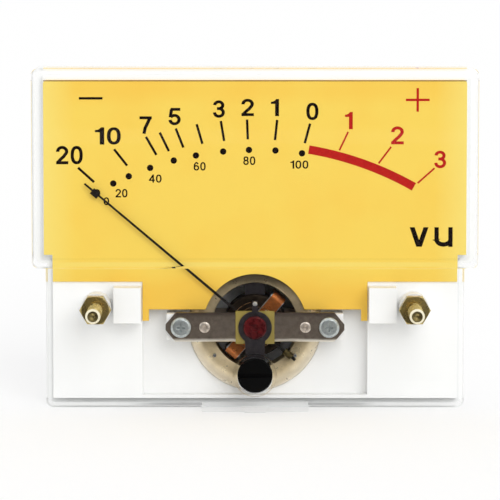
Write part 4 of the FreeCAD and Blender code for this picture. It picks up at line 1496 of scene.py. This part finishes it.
@dataclass
class PanelHardware:
    """Threaded studs and their nuts."""

    pitch: float = 0.5
    core_r: float = 1.24
    crest_r: float = 1.49
    chamfer: float = 0.42
    shank_r: float = 1.34
    head_r: float = 2.75
    head_thick: float = 2.0

    def thread(self, start: float, end: float) -> Mesh:
        """Raised helix between two depths, about the origin.

        Args:
            start: front end in millimetres.
            end: back end in millimetres.

        Returns:
            The helix as one mesh.
        """
        recipe = Recipe("stud_thread")
        radius, turns, height, crest = (recipe.input(name) for name in ("Radius", "Turns", "Height", "Crest"))
        helix = recipe.node("CurveSpiral", {
            "Resolution": 28, "Rotations": turns, "Start Radius": radius, "End Radius": radius,
            "Height": height,
        })
        section = recipe.node("CurvePrimitiveCircle", {"Resolution": 4, "Radius": crest})
        recipe.sweep(helix, section, -math.pi / 2, BRASS)
        rise = self.pitch * 0.46
        mesh = recipe.run(bpy.data.meshes.new("thread_host"), {
            "Radius": (self.crest_r - rise) * MM, "Turns": (end - start) / self.pitch,
            "Height": (end - start) * MM, "Crest": rise * MM,
        })
        return moved(mesh, y=start)

    def stud(self) -> Mesh:
        """One stud about the origin, at its true depth."""
        tip, end = low("panel_studs").y, high("panel_studs").y
        head, nut_face = end - self.head_thick, low("panel_nuts").y
        profile = [(0, tip + 0.12), (0.35, tip + 0.1), (0.5, tip), (self.crest_r - self.chamfer, tip),
                   (self.crest_r - 0.03, tip + self.chamfer), (self.core_r, tip + 0.7),
                   (self.core_r, nut_face), (self.shank_r, nut_face), (self.shank_r, head),
                   (self.head_r - 0.15, head),
                   (self.head_r, head + 0.15), (self.head_r, end - 0.3), (self.head_r - 0.3, end), (0, end)]
        return joined([turned(profile, 48), self.thread(tip + 0.5, nut_face - 0.25)], "stud")

    def chamfer_ring(self) -> Mesh:
        """Cone turned on the chamfer at the end of a stud, about the origin, for a painted highlight in pale
        brass.
        """
        tip, inner, outer = low("panel_studs").y, self.crest_r - self.chamfer, self.crest_r
        back = tip + 0.55
        return turned([(inner, tip), (outer, tip + self.chamfer), (outer, back), (inner, back)], 48, "cone")

    def build(self) -> None:
        """Both studs and nuts."""
        x, z = high("panel_studs").x - self.head_r, middle("panel_studs").z
        spots = [Spot(-x, 0, z), Spot(x, 0, z)]
        for name, template, finish, nodes in (
            ("threaded_studs", self.stud(), BRASS, ["panel_studs"]),
            # Painted highlight: pale cones over the studs' end chamfers.
            ("stud_chamfers", self.chamfer_ring(), HIGHLIGHT_BRASS, []),
        ):
            piece(name, shaded(repeated(name, template, spots, finish)), finish, Body.HOUSING, *nodes)
        softened("panel_nuts", BRASS, 0.15)


@dataclass
class BackParts:
    """White base and what it carries behind the dial."""

    def build(self) -> None:
        """Base, rear bearing, rectifier board and tags."""
        for node, finish, edge in (
            ("base_housing", WHITE, 0.15), ("rear_bridge", ZINC, 0.1), ("rear_rivets", RIVET_BRASS, 0.1),
            ("rear_jewel_screw", BRASS, 0.1), ("rear_lock_nut", BRASS, 0.1), ("rear_jewel", RUBY, 0.0),
            ("rectifier_board", BOARD, 0.08), ("rectifier_diodes", DIODE, 0.1),
            ("series_resistor", RESISTOR, 0.1), ("terminal_tags", TINNED, 0.08),
        ):
            softened(node, finish, edge)


# Studio


@dataclass(frozen=True)
class White(Finish):
    """Paper of the studio: floor and sweep."""

    name: str = "studio_paper"
    slot: str = ""
    tone: float = 0.92
    seen_tone: float = 0.62
    lift: float = 0.36

    def paint(self, shader: Shader) -> bpy.types.Material:
        """Matt paper; to the eye, and in metal and glass, it is white with a light shadow."""
        fibres = shader.noise(3, shader.place(), 3)
        tone = shader.spread(fibres, 0.3, 0.7, self.tone - 0.004, self.tone + 0.004)
        colour = shader.node("ShaderNodeCombineColor", {0: tone, 1: tone, 2: tone})
        matt = shader.node("ShaderNodeBsdfDiffuse", {"Color": colour.outputs[0]})
        seen = (self.seen_tone, self.seen_tone, self.seen_tone, 1)
        thin = shader.node("ShaderNodeBsdfDiffuse", {"Color": seen})
        glow = shader.node("ShaderNodeEmission", {"Color": (1, 1, 1, 1), "Strength": self.lift})
        both = shader.node("ShaderNodeAddShader", {0: thin.outputs[0], 1: glow.outputs[0]})
        light = shader.node("ShaderNodeLightPath")
        shown = matt.outputs[0]
        for ray in ("Is Camera Ray", "Is Glossy Ray", "Is Transmission Ray"):
            keys = {0: light.outputs[ray], 1: shown, 2: both.outputs[0]}
            shown = shader.node("ShaderNodeMixShader", keys).outputs[0]
        return shader.close(shown)


@dataclass
class Studio:
    """White table, even daylight and a soft key light from the upper right."""

    eye: Corner = (-0.0000065, -0.69616, 0.10053)
    look: Corner = (-0.00143192, 0.99514083, -0.09845136)
    lens: float = 250.2
    sky: float = 0.88
    key: float = 1.1
    key_from: Corner = (0.3, -0.9, 0.45)
    key_angle: float = 40.0
    floor_half: float = 30.0
    front_card: tuple[Corner, ...] = (
        (-0.8, -0.9, 0.0), (0.8, -0.9, 0.0), (0.8, -0.9, 0.7), (-0.8, -0.9, 0.7))
    table_card: tuple[Corner, ...] = (
        (-0.5, -0.8, 0.0005), (0.5, -0.8, 0.0005), (0.1, -0.05, 0.0005), (-0.1, -0.05, 0.0005))

    def camera(self) -> None:
        """Camera where the photographer stood."""
        data = bpy.data.cameras.new("camera")
        data.lens, data.sensor_width = self.lens, 36
        data.clip_start, data.clip_end = 0.01, 200
        made = placed("camera", data)
        made.location = self.eye
        made.rotation_euler = Vector(self.look).to_track_quat("-Z", "Y").to_euler()
        bpy.context.scene.camera = made

    def world(self) -> None:
        """White surroundings to the eye, softer as a source of light."""
        world = bpy.data.worlds.new("surroundings")
        world.use_nodes = True
        tree = world.node_tree
        tree.nodes.clear()
        light = add_node(tree, "ShaderNodeLightPath")
        seen = light.outputs["Is Camera Ray"]
        for ray in ("Is Glossy Ray", "Is Transmission Ray"):
            pair = {0: seen, 1: light.outputs[ray]}
            seen = add_node(tree, "ShaderNodeMath", pair, operation="MAXIMUM").outputs[0]
        level = add_node(tree, "ShaderNodeMapRange", {"Value": seen, "To Min": self.sky, "To Max": 1.0})
        white = {"Color": (1, 1, 1, 1), "Strength": level.outputs["Result"]}
        ground = add_node(tree, "ShaderNodeBackground", white)
        add_node(tree, "ShaderNodeOutputWorld", {"Surface": ground.outputs[0]})
        bpy.context.scene.world = world

    def key_light(self) -> None:
        """Wide soft light from the upper right in front."""
        data = bpy.data.lights.new("key", "SUN")
        data.energy, data.angle = self.key, math.radians(self.key_angle)
        made = placed("key", data)
        made.rotation_euler = Vector(self.key_from).to_track_quat("Z", "Y").to_euler()

    def sheet(self, name: str, corners: Sequence[Corner], finish: Finish) -> bpy.types.Object:
        """Flat sheet of the studio.

        Args:
            name: its name.
            corners: its corners in metres.
            finish: its finish.

        Returns:
            The new object.
        """
        mesh = bpy.data.meshes.new(name)
        mesh.from_pydata(corners, [], [(0, 1, 2, 3)])
        mesh.materials.append(finish.material())
        made = placed(name, mesh)
        return made

    def flag(self, name: str, corners: Sequence[Corner]) -> None:
        """Black card that only reflections see, so that dark parts stay dark behind the window.

        Args:
            name: name of the card.
            corners: its corners in metres.
        """
        made = self.sheet(name, corners, BLACK_INK)
        made.visible_camera = made.visible_diffuse = made.visible_transmission = made.visible_shadow = False

    def build(self) -> None:
        """Camera, light and table."""
        self.camera()
        self.world()
        self.key_light()
        half = self.floor_half
        self.sheet("table", [(-half, -half, 0), (half, -half, 0), (half, half, 0), (-half, half, 0)], White())
        self.flag("front_flag", self.front_card)
        self.flag("table_flag", self.table_card)
        bpy.context.scene.view_settings.view_transform = "Standard"


def main() -> None:
    """Build the meter's pieces in order, then the studio."""
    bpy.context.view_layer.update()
    for part in (Cover(), Dial(), MagnetSystem(), MovingCoil(), Hairsprings(), FrontBearing(),
                 PanelHardware(), BackParts(), Studio()):
        log.info("%s", type(part).__name__)
        part.build()


if __name__ == "__main__":
    logging.basicConfig(level=logging.INFO, format="%(message)s")
    main()
